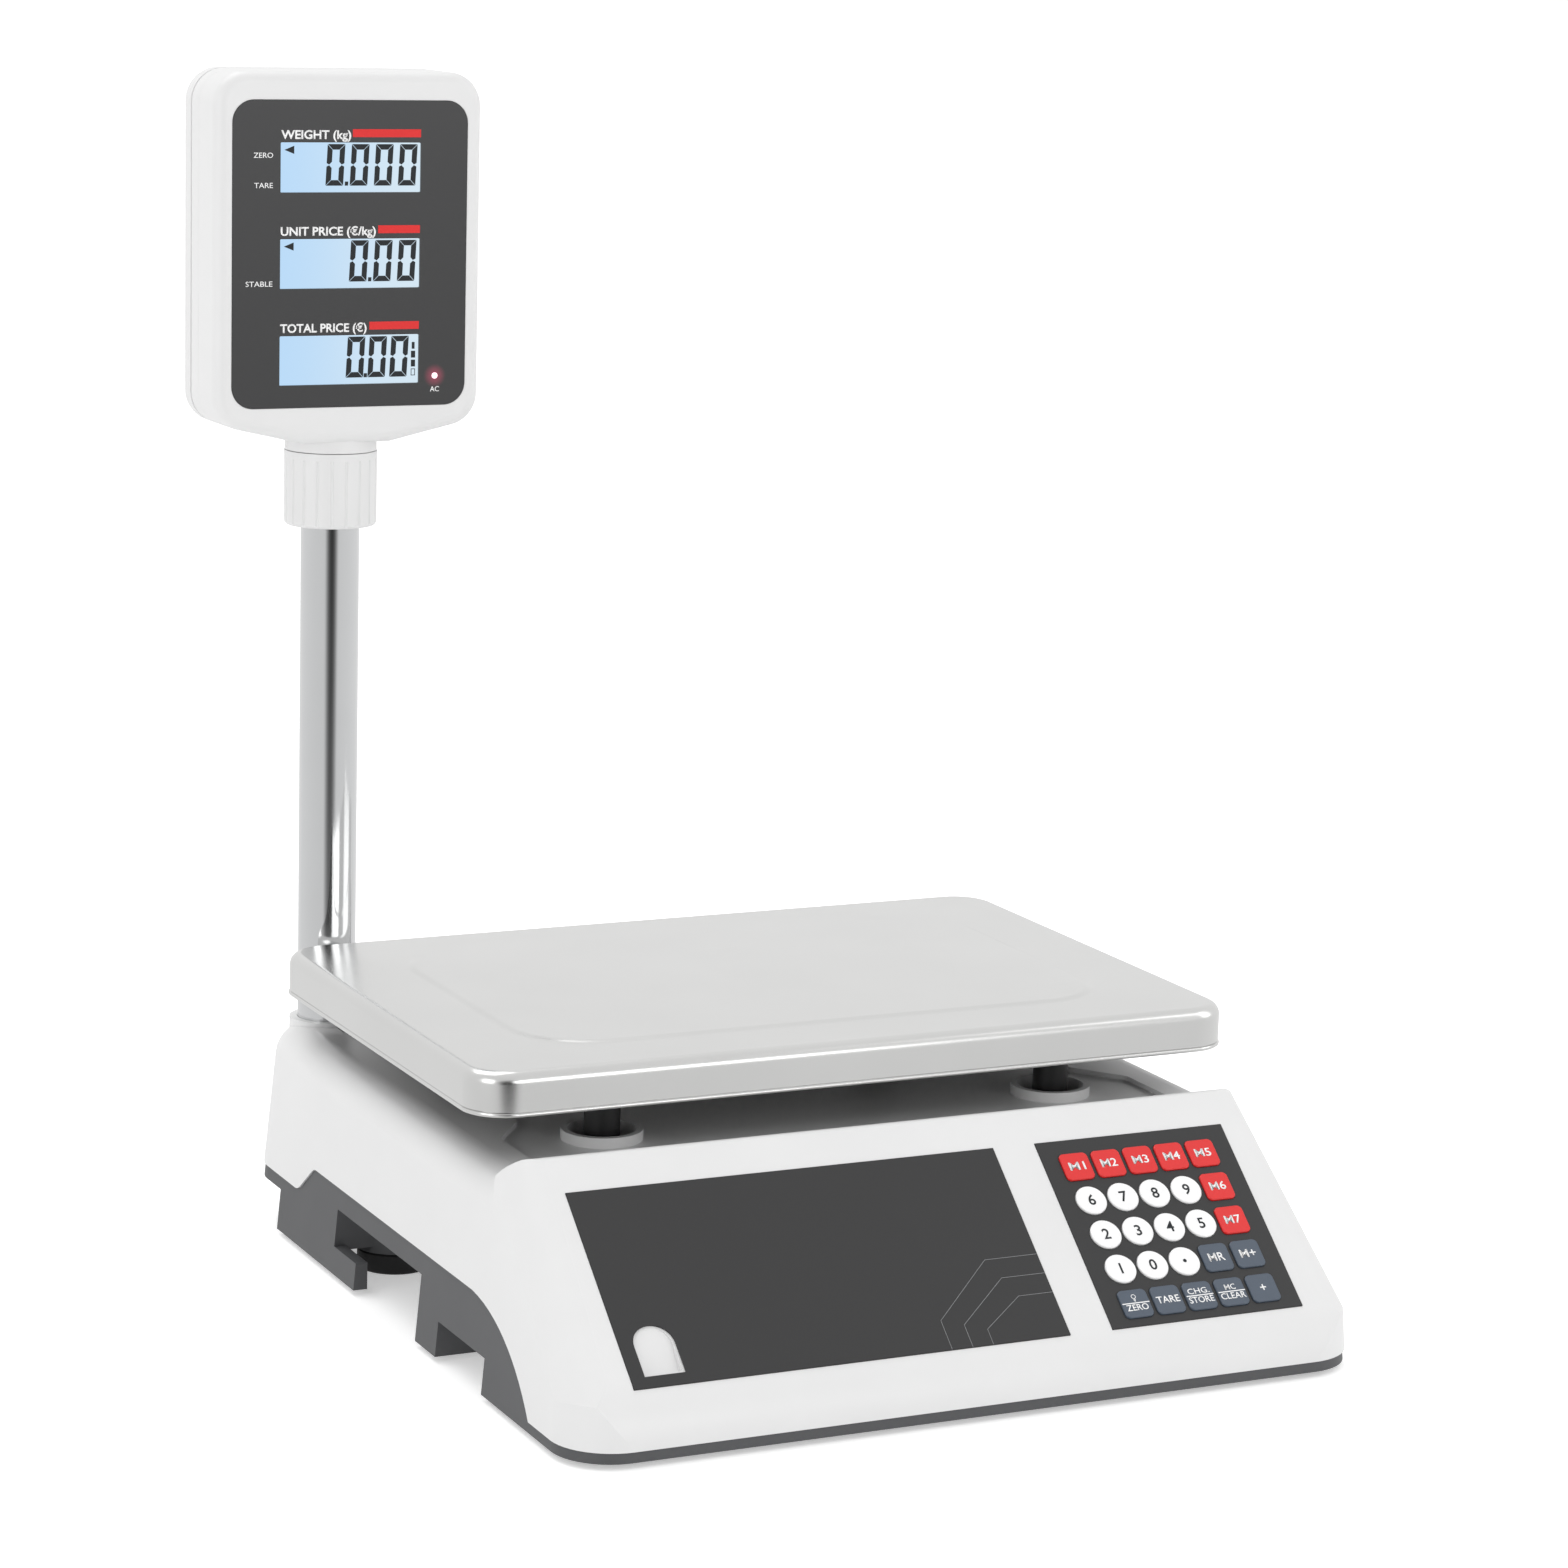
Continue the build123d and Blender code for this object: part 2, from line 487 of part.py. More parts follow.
def above_floor():
    """Room inside the housing, over its stepped floor."""
    t = HOUSING_WALL
    steps = [
        (STEP_FRONT_Y - t, FLOOR_FRONT_Z), (STEP_MID_Y - t, FLOOR_SMALL_Z), (STEP_REAR_Y + t, FLOOR_MID_Z),
        (STEP_BACK_Y - t, FLOOR_REAR_Z), (FAR, FLOOR_BACK_Z),
    ]
    outline = []
    y = -FAR
    for end, level in steps:
        outline += [(y, level + t), (end, level + t)]
        y = end
    return across(side_view(outline + [(FAR, FAR), (-FAR, FAR)]))


def door_block(grow, z0, z1):
    x = BATTERY[0] / 2 + DOOR_MARGIN_X + grow
    y = BATTERY[1] / 2 + DOOR_MARGIN_Y + grow
    return block(-x, x, BATTERY_Y - y, BATTERY_Y + y, z0, z1)


def lower_housing():
    skin = base_solid(HOUSING_SET_BACK) & seam_region(SEAM_GAP)
    skin += base_solid(COVER_WALL + SEAM_GAP) & block(
        -FAR, FAR, -FAR, STEP_FRONT_Y, COVER_FRONT_Z - 2, FLOOR_FRONT_Z + HOUSING_WALL)
    skin &= block(-FAR, FAR, -FAR, FAR, HOUSING_BOTTOM_Z, FAR)
    inner = base_solid(HOUSING_SET_BACK + HOUSING_WALL)
    tray = skin - (inner & above_floor())
    wall_x = BASE_HALF_W - HOUSING_SET_BACK - HOUSING_WALL - LEG_WALL
    tray -= inner & block(-FAR, FAR, -FAR, STEP_FRONT_Y - 2, -FAR, FLOOR_FRONT_Z)
    tray -= block(-FAR, FAR, STEP_FRONT_Y, STEP_LEG_Y, -FAR, FLOOR_SMALL_Z)
    leg_x = wall_x - LEG_DEPTH
    tray -= block(-leg_x, leg_x, STEP_LEG_Y - 1, STEP_MID_Y, -FAR, FLOOR_SMALL_Z)
    tray -= block(-FAR, FAR, STEP_MID_Y, LEDGE_Y, -FAR, FLOOR_MID_Z)
    tray -= block(-wall_x, wall_x, LEDGE_Y - 1, STEP_REAR_Y, -FAR, FLOOR_MID_Z)
    tray -= block(-FAR, FAR, LEDGE_Y - 1, STEP_REAR_Y, LEDGE_Z, FLOOR_MID_Z)
    tray -= block(-wall_x, wall_x, STEP_REAR_Y - 1, STEP_BACK_Y - 2, -FAR, FLOOR_REAR_Z)
    tray -= block(-FAR, FAR, STEP_BACK_Y, FAR, -FAR, FLOOR_BACK_Z)
    for name, (x, y) in foot_places().items():
        boss_r = BOSS_REAR_R if "rear" in name else BOSS_FRONT_R
        tray += rod(x, y, PAD_H + PAD_GAP, STUD_TOP_Z + BOSS_ROOF, boss_r)
        tray -= rod(x, y, 0, STUD_TOP_Z + 1, STUD_R + STUD_GAP)
    for x, y in screw_places():
        tray += rod(x, y, floor_z(y) + 0.5, BOSS_SEAM_Z, SCREW_BOSS_R)
        tray -= rod(x, y, 0, BOSS_SEAM_Z + 1, SCREW_R + SCREW_GAP)
        tray -= rod(x, y, 0, floor_z(y) + SCREW_HEAD_H, SCREW_HEAD_R + SCREW_HEAD_GAP)
    tray -= door_block(DOOR_GAP, 0, FLOOR_REAR_Z + 5)
    for sx in (-1, 1):
        tray -= rod(sx * DOOR_TAB_X, BATTERY_Y, 0, FLOOR_REAR_Z + 5, SCREW_R)
    floor_top = FLOOR_MID_Z + HOUSING_WALL
    cell_end = -CELL_L / 2
    tray += block(cell_end, cell_end + CELL_SEAT, *cell_ys(), floor_top - 1, CELL_BOTTOM_Z)
    for x in CELL_BOLT_X:
        tray -= rod(-x, PAN_Y, 0, CELL_BOTTOM_Z + 1, CELL_BOLT_R)
    for x, y in board_corners():
        tray += rod(x, y, floor_top - 1, MAIN_BOARD_Z, BOARD_PILLAR_R)
    return tray


def floor_z(y):
    """Underside of the housing's floor at a place between the front and the rear feet."""
    return FLOOR_MID_Z if y > STEP_MID_Y else FLOOR_SMALL_Z


def cell_ys():
    return PAN_Y - CELL_W / 2, PAN_Y + CELL_W / 2


def board_corners():
    x, y = MAIN_BOARD_POS
    dx, dy = MAIN_BOARD[0] / 2 - 4, MAIN_BOARD[1] / 2 - 6
    return [(x + sx * dx, y + sy * dy) for sx in (-1, 1) for sy in (-1, 1)]


def case_screws():
    screws = []
    for x, y in screw_places():
        under = floor_z(y)
        head = rod(x, y, under, under + SCREW_HEAD_H, SCREW_HEAD_R)
        screws.append(rod(x, y, under + SCREW_HEAD_H - 2, SCREW_TIP_Z - 1, SCREW_R) + head)
    under = FLOOR_REAR_Z - DOOR_TAB_T
    for x in (-DOOR_TAB_X, DOOR_TAB_X):
        head = rod(x, BATTERY_Y, under - DOOR_HEAD_H, under, SCREW_HEAD_R)
        screws.append(rod(x, BATTERY_Y, under - 1, FLOOR_REAR_Z + 8, SCREW_R) + head)
    return screws


def battery():
    w, d, h = BATTERY
    foot = FLOOR_REAR_Z + HOUSING_WALL
    body = block(-w / 2, w / 2, BATTERY_Y - d / 2, BATTERY_Y + d / 2, foot, foot + h)
    body = fillet(body.edges().filter_by(Axis.Z), BATTERY_EDGE_R)
    half_x, half_y = TERMINAL[0] / 2, TERMINAL[1] / 2
    for x in (-TERMINAL_X, TERMINAL_X):
        body += block(x - half_x, x + half_x, BATTERY_Y - half_y, BATTERY_Y + half_y,
                      foot + h - 1, foot + h + TERMINAL[2])
    return body


def battery_door():
    door = door_block(0, FLOOR_REAR_Z, FLOOR_REAR_Z + HOUSING_WALL)
    under = FLOOR_REAR_Z - DOOR_TAB_T
    reach, half = DOOR_TAB_X + DOOR_TAB / 2, DOOR_TAB / 2
    door += block(-reach, reach, BATTERY_Y - half, BATTERY_Y + half, under, FLOOR_REAR_Z)
    for x in (-DOOR_TAB_X, DOOR_TAB_X):
        door -= rod(x, BATTERY_Y, 0, FLOOR_REAR_Z + 18, SCREW_R)
    return door


def main_board():
    x, y = MAIN_BOARD_POS
    w, d, t = MAIN_BOARD
    z = MAIN_BOARD_Z
    board = block(x - w / 2, x + w / 2, y - d / 2, y + d / 2, z, z + t)
    for left, front, wide, deep, high in (TRANSFORMER, CHIP):
        board += block(x + left, x + left + wide, y + front, y + front + deep, z + t, z + t + high)
    wide, deep, high = CABLE_PLUG
    back = y + d / 2
    return board + block(x - wide / 2, x + wide / 2, back - deep, back, z + t, z + t + high)


# ---------------------------------------------------------------- load path
def load_cell():
    cell = block(-CELL_L / 2, CELL_L / 2, *cell_ys(), CELL_BOTTOM_Z, CELL_BOTTOM_Z + CELL_H)
    z = CELL_BOTTOM_Z + CELL_H / 2
    reach = CELL_HOLE_X
    for x in (-reach, reach):
        cell -= Pos(x, PAN_Y, z) * Rot(90, 0, 0) * Cylinder(CELL_HOLE_R, CELL_W + 2)
    cell -= block(-reach, reach, PAN_Y - CELL_W, PAN_Y + CELL_W, z - CELL_SLOT / 2, z + CELL_SLOT / 2)
    for sx in (-1, 1):
        for x in CELL_BOLT_X:
            cell -= rod(sx * x, PAN_Y, CELL_BOTTOM_Z - 1, CELL_BOTTOM_Z + CELL_H + 1, CELL_BOLT_R)
    return cell


def load_cell_bolts():
    bolts = []
    under, top = FLOOR_MID_Z, SPIDER_BOTTOM_Z + SPIDER_T
    for x in CELL_BOLT_X:
        head = rod(-x, PAN_Y, under - BOLT_HEAD_H, under, BOLT_HEAD_R)
        bolts.append(rod(-x, PAN_Y, under - 1, CELL_BOTTOM_Z + BOLT_LOW_TOP, CELL_BOLT_R) + head)
        head = rod(x, PAN_Y, top, top + BOLT_HEAD_H, BOLT_HEAD_R)
        bolts.append(rod(x, PAN_Y, CELL_BOTTOM_Z + BOLT_HIGH_FOOT, top + 1, CELL_BOLT_R) + head)
    return bolts


def spider():
    z0, z1 = SPIDER_BOTTOM_Z, SPIDER_BOTTOM_Z + SPIDER_T
    reach = math.hypot(POST_X, POST_REACH_Y)
    turn = math.degrees(math.atan2(POST_REACH_Y, POST_X))
    half = SPIDER_PLATE_HALF_D
    plate = block(*SPIDER_PLATE_X, PAN_Y - half, PAN_Y + half, z0, z1)
    for angle in (turn, -turn):
        plate += Pos(0, PAN_Y, (z0 + z1) / 2) * Rot(0, 0, angle) * Box(2 * reach, SPIDER_ARM, SPIDER_T)
    for x, y in post_places():
        plate += rod(x, y, z0, z1, POST_R + POST_FOOT)
    first, last = CELL_BOLT_X
    plate += block(first - 10, last + 8, *cell_ys(), CELL_BOTTOM_Z + CELL_H, z0 + 1)
    for x in CELL_BOLT_X:
        plate -= rod(x, PAN_Y, z0 - 5, z1 + 5, CELL_BOLT_R)
    return plate


PAN_UNDER_Z = PAN_TOP_Z - PAN_SHEET


def posts():
    z0 = SPIDER_BOTTOM_Z + SPIDER_T
    shapes = []
    for x, y in post_places():
        post = rod(x, y, z0, PAN_UNDER_Z, POST_R) + rod(x, y, z0, z0 + POST_FOOT_H, POST_R + POST_FOOT)
        post -= rod(x, y, z0 - 1, z0 + POST_BORE_DEPTH, POST_BORE_R)
        shapes.append(chamfer(post.edges().group_by(Axis.Z)[-1], POST_EDGE))
    return shapes


def pan_shell(inset):
    z1 = PAN_TOP_Z - inset
    x, y = PAN_W / 2 - inset, PAN_D / 2 - inset
    body = Pos(0, PAN_Y, 0) * block(-x, x, -y, y, PAN_BOTTOM_Z - 5, z1)
    body = fillet(body.edges().filter_by(Axis.Z), PAN_CORNER_R - inset)
    return fillet(body.edges().group_by(Axis.Z)[-1], PAN_ROLL_R - inset)


def pan():
    sheet = pan_shell(0) - pan_shell(PAN_SHEET)
    sheet &= block(-FAR, FAR, -FAR, FAR, PAN_BOTTOM_Z, FAR)
    field = Pos(0, PAN_Y, PAN_TOP_Z - FIELD_SUNK) * RectangleRounded(FIELD_W, FIELD_D, FIELD_R)
    sheet += extrude(field, amount=FIELD_RISE + FIELD_SUNK, taper=FIELD_TAPER)
    for x, y in post_places():
        inner = POST_R + CUP_GAP
        sheet += tube(x, y, PAN_UNDER_Z - CUP_DEPTH, PAN_UNDER_Z + 0.3, inner + CUP_WALL, inner)
    return sheet


# ---------------------------------------------------------------- feet
def foot_pad(x, y):
    pad = rod(x, y, 0, PAD_H, PAD_R)
    pad = fillet(pad.edges().group_by(Axis.Z)[0], PAD_FOOT_R)
    pad = chamfer(pad.edges().group_by(Axis.Z)[-1], PAD_EDGE)
    pad -= rod(x, y, -1, HEX_Z1 + HEX_GAP, HEX_R + HEX_GAP)
    return pad - rod(x, y, HEX_Z1, PAD_H + 1, STUD_R + STUD_GAP)


def foot_screw(x, y):
    hexagon = Pos(x, y, HEX_Z0) * RegularPolygon(HEX_R, 6)
    head = extrude(hexagon, amount=HEX_Z1 - HEX_Z0)
    return head + rod(x, y, HEX_Z1 - 0.5, STUD_TOP_Z, STUD_R)


# ---------------------------------------------------------------- inlet and switch
def power_inlet():
    half_w, half_h, t = INLET_W / 2, INLET_H / 2, SIDE_FLANGE_T
    frame = on_side(INLET_Y, half_w + FLANGE_EDGE, half_h + FLANGE_EDGE, 0, t)
    body = frame + on_side(INLET_Y, half_w - DOOR_GAP, half_h - DOOR_GAP, -INLET_DEPTH, 0.5)
    wall = INLET_WALL
    body -= on_side(INLET_Y, half_w - wall, half_h - wall, -INLET_DEPTH + wall, 5)
    half_y, half_z = INLET_PIN[0] / 2, INLET_PIN[1] / 2
    for dy, z in INLET_PINS:
        y = INLET_Y + dy
        body += SIDE_PLANE * block(y - half_y, y + half_y, z - half_z, z + half_z,
                                   -INLET_DEPTH + 1, INLET_PIN_TOP)
    return body


def switch_frame():
    half_w, half_h, t = SWITCH_W / 2, SWITCH_H / 2, SIDE_FLANGE_T
    frame = on_side(SWITCH_Y, half_w + FLANGE_EDGE, half_h + FLANGE_EDGE, 0, t)
    body = frame + on_side(SWITCH_Y, half_w - DOOR_GAP, half_h - DOOR_GAP, -SWITCH_DEPTH, 0.5)
    room_w, room_h = ROCKER_W / 2 + ROCKER_GAP, ROCKER_H / 2 + ROCKER_SWING
    body -= on_side(SWITCH_Y, room_w, room_h, -SWITCH_DEPTH + 1.5, 5)
    pin = SIDE_PLANE * Pos(SWITCH_Y, 0, ROCKER_AXIS_Z) * Rot(0, 90, 0) * Cylinder(ROCKER_PIN_R, SWITCH_W - 1)
    return body + pin


def switch_rocker():
    """A slab with a hollowed top that turns on the frame's pin."""
    half = ROCKER_H / 2
    top = SIDE_FLANGE_T + ROCKER_RISE
    shape = Plane.YZ * make_face(
        Polyline((half, top), (half, -1.0), (2.6, -6.0), (-2.6, -6.0), (-half, -1.0), (-half, top))
        + ThreePointArc((-half, top), (0, top - ROCKER_HOLLOW), (half, top))
    )
    slab = extrude(shape, amount=ROCKER_W / 2, both=True)
    bore = ROCKER_PIN_R + ROCKER_PIN_GAP
    slab -= Pos(0, 0, ROCKER_AXIS_Z) * Rot(0, 90, 0) * Cylinder(bore, ROCKER_W + 2)
    turned = Rot(ROCKER_REST, 0, 0)
    slab = Pos(0, 0, ROCKER_AXIS_Z) * turned * Pos(0, 0, -ROCKER_AXIS_Z) * slab
    return SIDE_PLANE * Pos(SWITCH_Y, 0, 0) * slab


# ---------------------------------------------------------------- pole
def pole_socket():
    floor_top = FLOOR_BACK_Z + HOUSING_WALL
    out = POLE_R + SOCKET_WALL + SOCKET_GAP
    body = rod(POLE_X, POLE_Y, floor_top, SOCKET_TOP_Z, out)
    body -= rod(POLE_X, POLE_Y, POLE_BOTTOM_Z, SOCKET_TOP_Z + 1, POLE_R + SOCKET_GAP)
    body -= rod(POLE_X, POLE_Y, floor_top + 3, POLE_BOTTOM_Z + 1, POLE_R - POLE_WALL - 1)
    slot = block(POLE_X - 4, POLE_X + 4, POLE_Y - 30, POLE_Y, floor_top + 3, POLE_BOTTOM_Z - 1)
    return body - slot


def pole():
    return tube(POLE_X, POLE_Y, POLE_BOTTOM_Z, POLE_TOP_Z, POLE_R, POLE_R - POLE_WALL)


def pole_collar():
    """Fluted sleeve over the pole's top, with the journal that the head turns on."""
    sleeve = rod(POLE_X, POLE_Y, SLEEVE_BOTTOM_Z, SLEEVE_TOP_Z, SLEEVE_R)
    sleeve = fillet(sleeve.edges().group_by(Axis.Z)[0], SLEEVE_FOOT_R)
    ring_r = SLEEVE_R + FLUTE_R * FLUTE_OUT
    for i in range(FLUTES):
        angle = 2 * math.pi * i / FLUTES
        x, y = POLE_X + ring_r * cos(angle), POLE_Y + ring_r * sin(angle)
        sleeve -= rod(x, y, SLEEVE_BOTTOM_Z - 1, SLEEVE_TOP_Z - SLEEVE_BAND, FLUTE_R)
    sleeve += rod(POLE_X, POLE_Y, SLEEVE_TOP_Z - 1, JOURNAL_TOP_Z, JOURNAL_R)
    sleeve += rod(POLE_X, POLE_Y, LOCK_Z0, LOCK_Z1, LOCK_R)
    sleeve -= rod(POLE_X, POLE_Y, SLEEVE_BOTTOM_Z - 1, POLE_TOP_Z, POLE_R + SOCKET_GAP)
    return sleeve - rod(POLE_X, POLE_Y, POLE_TOP_Z - 1, JOURNAL_TOP_Z + 1, POLE_R - JOURNAL_BORE_IN)


def display_cable():
    """The lead to the head: from the main board, in at the socket's slot and up the pole."""
    x, y = MAIN_BOARD_POS
    z = MAIN_BOARD_Z + MAIN_BOARD[2] + CABLE_R
    end_y = y + MAIN_BOARD[1] / 2
    bends = [
        (x, end_y, z), (x, end_y + 22, z), (x - 12, end_y + 48, z - 4), (POLE_X, POLE_Y - 30, z - 8),
        (POLE_X, POLE_Y, z - 6), (POLE_X, POLE_Y, z + 30),
    ]
    runs = [math.dist(a, b) for a, b in zip(bends, bends[1:])]
    radii = []
    for i in range(1, len(bends) - 1):
        before = Vector(*bends[i]) - Vector(*bends[i - 1])
        after = Vector(*bends[i + 1]) - Vector(*bends[i])
        turn = radians(before.get_angle(after))
        radii.append(0.45 * min(runs[i - 1], runs[i]) / tan(turn / 2))
    path = FilletPolyline(*bends[:-1], (POLE_X, POLE_Y, JOURNAL_TOP_Z + 6), radius=radii)
    start = Plane(origin=bends[0], z_dir=(0, 1, 0))
    return sweep(start * Circle(CABLE_R), path=path)


# ---------------------------------------------------------------- display head
def head_solid(inset):
    half = HEAD_W / 2
    outline = make_face(
        Polyline(
            (-half, HEAD_TOP_Z), (half, HEAD_TOP_Z), (half, HEAD_CORNER_Z), (NECK_R, HEAD_NECK_Z),
            (-NECK_R, HEAD_NECK_Z), (-half, HEAD_CORNER_Z), close=True,
        )
    )
    corners = [v for v in outline.vertices() if abs(v.X) > NECK_R + 1]
    outline = fillet(corners, HEAD_CORNER_R)
    if inset:
        outline = offset(outline, amount=-inset)
    body = extrude(Plane.XZ * outline, amount=HEAD_D / 2 - inset, both=True)
    ends = [e for e in body.edges() if abs(abs(e.center().Y) - (HEAD_D / 2 - inset)) < 1e-3]
    return Pos(POLE_X, POLE_Y, 0) * fillet(ends, HEAD_EDGE_R - inset)


def face_plug(w, h, r, z_bottom, y0, y1, x=0.0):
    """A rounded plate that faces the front, from y0 to y1 ahead of the head's middle."""
    shape = Plane.XZ * (Pos(x, z_bottom + h / 2) * RectangleRounded(w, h, r))
    return Pos(POLE_X, POLE_Y - y0, 0) * extrude(shape, amount=y1 - y0)


def both_faces(shape):
    return [shape, Pos(POLE_X, POLE_Y, 0) * Rot(0, 0, 180) * Pos(-POLE_X, -POLE_Y, 0) * shape]


def window_bottoms():
    return [FACE_BOTTOM_Z + FACE_H - drop - WINDOW_H for drop in WINDOW_DROPS]


def lcd_reach():
    """Lowest and highest edge of the opening behind the panels that the modules sit in."""
    over = (LCD_H - WINDOW_H) / 2 + LCD_ROOM
    bottoms = window_bottoms()
    return min(bottoms) - over, max(bottoms) + WINDOW_H + over


def head_screw_places():
    return [(sx * HEAD_SCREW_X, z) for sx in (-1, 1) for z in HEAD_SCREW_ZS]


def head_bore(x, middle_y, z, r, length):
    """A cylinder from front to back in the head, x from its middle."""
    return Pos(POLE_X + x, middle_y, z) * Rot(90, 0, 0) * Cylinder(r, length)


def head_cavity():
    x, y = POLE_X, POLE_Y
    room = head_solid(HEAD_WALL)
    room -= rod(x, y, HEAD_NECK_Z - 5, JOURNAL_TOP_Z + 2, NECK_R)
    room += rod(x, y, HEAD_NECK_Z - 10, JOURNAL_TOP_Z + 4, JOURNAL_R + JOURNAL_GAP)
    return room + rod(x, y, LOCK_Z0 - LOCK_GAP, LOCK_Z1 + LOCK_GAP, LOCK_R + LOCK_GAP)


def head_shells():
    x, y = POLE_X, POLE_Y
    shell = head_solid(0) + rod(x, y, SLEEVE_TOP_Z + NECK_GAP, JOURNAL_TOP_Z, NECK_R)
    shell -= head_cavity()
    depth = HEAD_D / 2
    for sx, z in head_screw_places():
        shell += head_bore(sx, y, z, HEAD_BOSS_R, HEAD_D - HEAD_WALL)
    pocket = face_plug(FACE_W, FACE_H, FACE_R, FACE_BOTTOM_Z, depth - FACE_SUNK, depth + 2)
    low, high = lcd_reach()
    room = face_plug(LCD_W + 2 * LCD_SIDE_ROOM, high - low, 2.0, low, depth - 5, depth + 2)
    for tool in both_faces(pocket) + both_faces(room):
        shell -= tool
    ring = head_solid(0) - head_solid(SEAM_GROOVE)
    groove = y + SEAM_GROOVE_Y
    shell -= ring & block(-FAR, FAR, groove, groove + SEAM_GROOVE_W, HEAD_CORNER_Z, FAR)
    for sx, z in head_screw_places():
        shell -= head_bore(sx, y, z, HEAD_SCREW_R, HEAD_D - 8)
        shell -= head_bore(sx, y + depth - FACE_SUNK - 1.25, z, HEAD_SCREW_HEAD_R + 0.1, 2.5)
        shell -= head_bore(sx, y + depth / 2, z, HEAD_SCREW_R, depth)
    front = shell & block(-FAR, FAR, -FAR, y - SHELL_GAP / 2, -FAR, FAR)
    rear = shell & block(-FAR, FAR, y + SHELL_GAP / 2, FAR, -FAR, FAR)
    return front, rear


def head_screws():
    depth = HEAD_D / 2
    top = POLE_Y + depth - FACE_SUNK - 0.2
    tip = POLE_Y - depth + 6
    screws = []
    for x, z in head_screw_places():
        head = head_bore(x, top - HEAD_SCREW_HEAD_H / 2, z, HEAD_SCREW_HEAD_R, HEAD_SCREW_HEAD_H)
        screws.append(head + head_bore(x, (top + tip) / 2, z, HEAD_SCREW_R, top - tip - 0.5))
    return screws


def head_panels():
    depth = HEAD_D / 2
    gap = PANEL_GAP
    face = face_plug(FACE_W - 2 * gap, FACE_H - 2 * gap, FACE_R - gap, FACE_BOTTOM_Z + gap,
                     depth - FACE_SUNK, depth - FACE_SUNK + FACE_T)
    for z in window_bottoms():
        face -= face_plug(WINDOW_W, WINDOW_H, WINDOW_R, z, depth - 5, depth + 5)
    return both_faces(face)


def lcd_modules():
    depth = HEAD_D / 2
    back = depth - FACE_SUNK
    modules = []
    for z in window_bottoms():
        z0 = z + (WINDOW_H - LCD_H) / 2
        glass = face_plug(LCD_W, LCD_H, 0.5, z0, back - LCD_T, back)
        glass += face_plug(WINDOW_W - 2 * GLASS_GAP, WINDOW_H - 2 * GLASS_GAP, WINDOW_R - 0.1, z + GLASS_GAP,
                           back - 0.5, back + GLASS_RISE)
        modules += both_faces(glass)
    return modules


def head_board():
    back = HEAD_D / 2 - FACE_SUNK - LCD_T
    bottom_z = lcd_reach()[0]
    front = back - BOARD_T
    board = face_plug(HEAD_BOARD_W, HEAD_BOARD_H, 1.0, bottom_z, front, back)
    link = face_plug(*HEAD_LINK, 0.5, bottom_z + 2, -front, front, x=HEAD_LINK_X)
    one, other = both_faces(board)
    return one + other + link


# ---------------------------------------------------------------- build
def main():
    os.makedirs("parts", exist_ok=True)
    save("upper_cover", upper_cover(base_solid(0)))
    save("lower_housing", lower_housing())
    save("front_overlay", front_overlay())
    save("keypad_overlay", keypad_overlay())
    save("keypad_board", keypad_board())
    for name in KEYS:
        save(f"key_{name}", key(name))
    save("case_screws", *case_screws())
    save("battery", battery())
    save("battery_door", battery_door())
    save("main_board", main_board())
    save("load_cell", load_cell())
    save("load_cell_bolts", *load_cell_bolts())
    save("spider", spider())
    save("posts", *posts())
    save("pan", pan())
    for place, (x, y) in foot_places().items():
        save(f"foot_pad_{place}", foot_pad(x, y))
        save(f"foot_screw_{place}", foot_screw(x, y))
    save("power_inlet", power_inlet())
    save("switch_frame", switch_frame())
    save("switch_rocker", switch_rocker())
    save("pole_socket", pole_socket())
    save("pole", pole())
    save("pole_collar", pole_collar())
    save("display_cable", display_cable())
    front, rear = head_shells()
    save("head_front_shell", front)
    save("head_rear_shell", rear)
    save("head_screws", *head_screws())
    save("head_panels", *head_panels())
    save("lcd_modules", *lcd_modules())
    save("head_board", head_board())


main()
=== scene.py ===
import json
import math

import bmesh
import bpy
from bpy.props import FloatProperty, FloatVectorProperty, PointerProperty, StringProperty
from mathutils import Matrix, Vector


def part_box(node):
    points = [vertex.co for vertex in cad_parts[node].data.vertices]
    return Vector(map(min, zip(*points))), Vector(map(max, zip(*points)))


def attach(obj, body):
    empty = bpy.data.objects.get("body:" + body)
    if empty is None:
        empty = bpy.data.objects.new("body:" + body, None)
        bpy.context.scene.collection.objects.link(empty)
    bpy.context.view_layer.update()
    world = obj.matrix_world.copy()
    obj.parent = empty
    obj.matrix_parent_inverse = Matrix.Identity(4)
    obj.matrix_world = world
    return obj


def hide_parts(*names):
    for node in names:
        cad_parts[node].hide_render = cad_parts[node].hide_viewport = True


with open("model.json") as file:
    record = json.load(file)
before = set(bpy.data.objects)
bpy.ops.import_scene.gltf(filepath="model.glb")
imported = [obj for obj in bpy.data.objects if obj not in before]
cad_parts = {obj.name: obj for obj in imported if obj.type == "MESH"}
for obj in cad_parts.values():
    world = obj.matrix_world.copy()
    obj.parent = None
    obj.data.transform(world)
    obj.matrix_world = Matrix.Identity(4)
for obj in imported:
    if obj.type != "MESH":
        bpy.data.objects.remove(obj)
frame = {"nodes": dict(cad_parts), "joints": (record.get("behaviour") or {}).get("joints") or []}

bl_info = {
    "name": "Price Computing Scale",
    "version": (1, 0, 0),
    "blender": (4, 5, 0),
    "location": "3D View > Sidebar > Price Scale",
    "description": "Finishes, lettering and the pressed pan of a price-computing counter scale",
    "category": "Object",
}

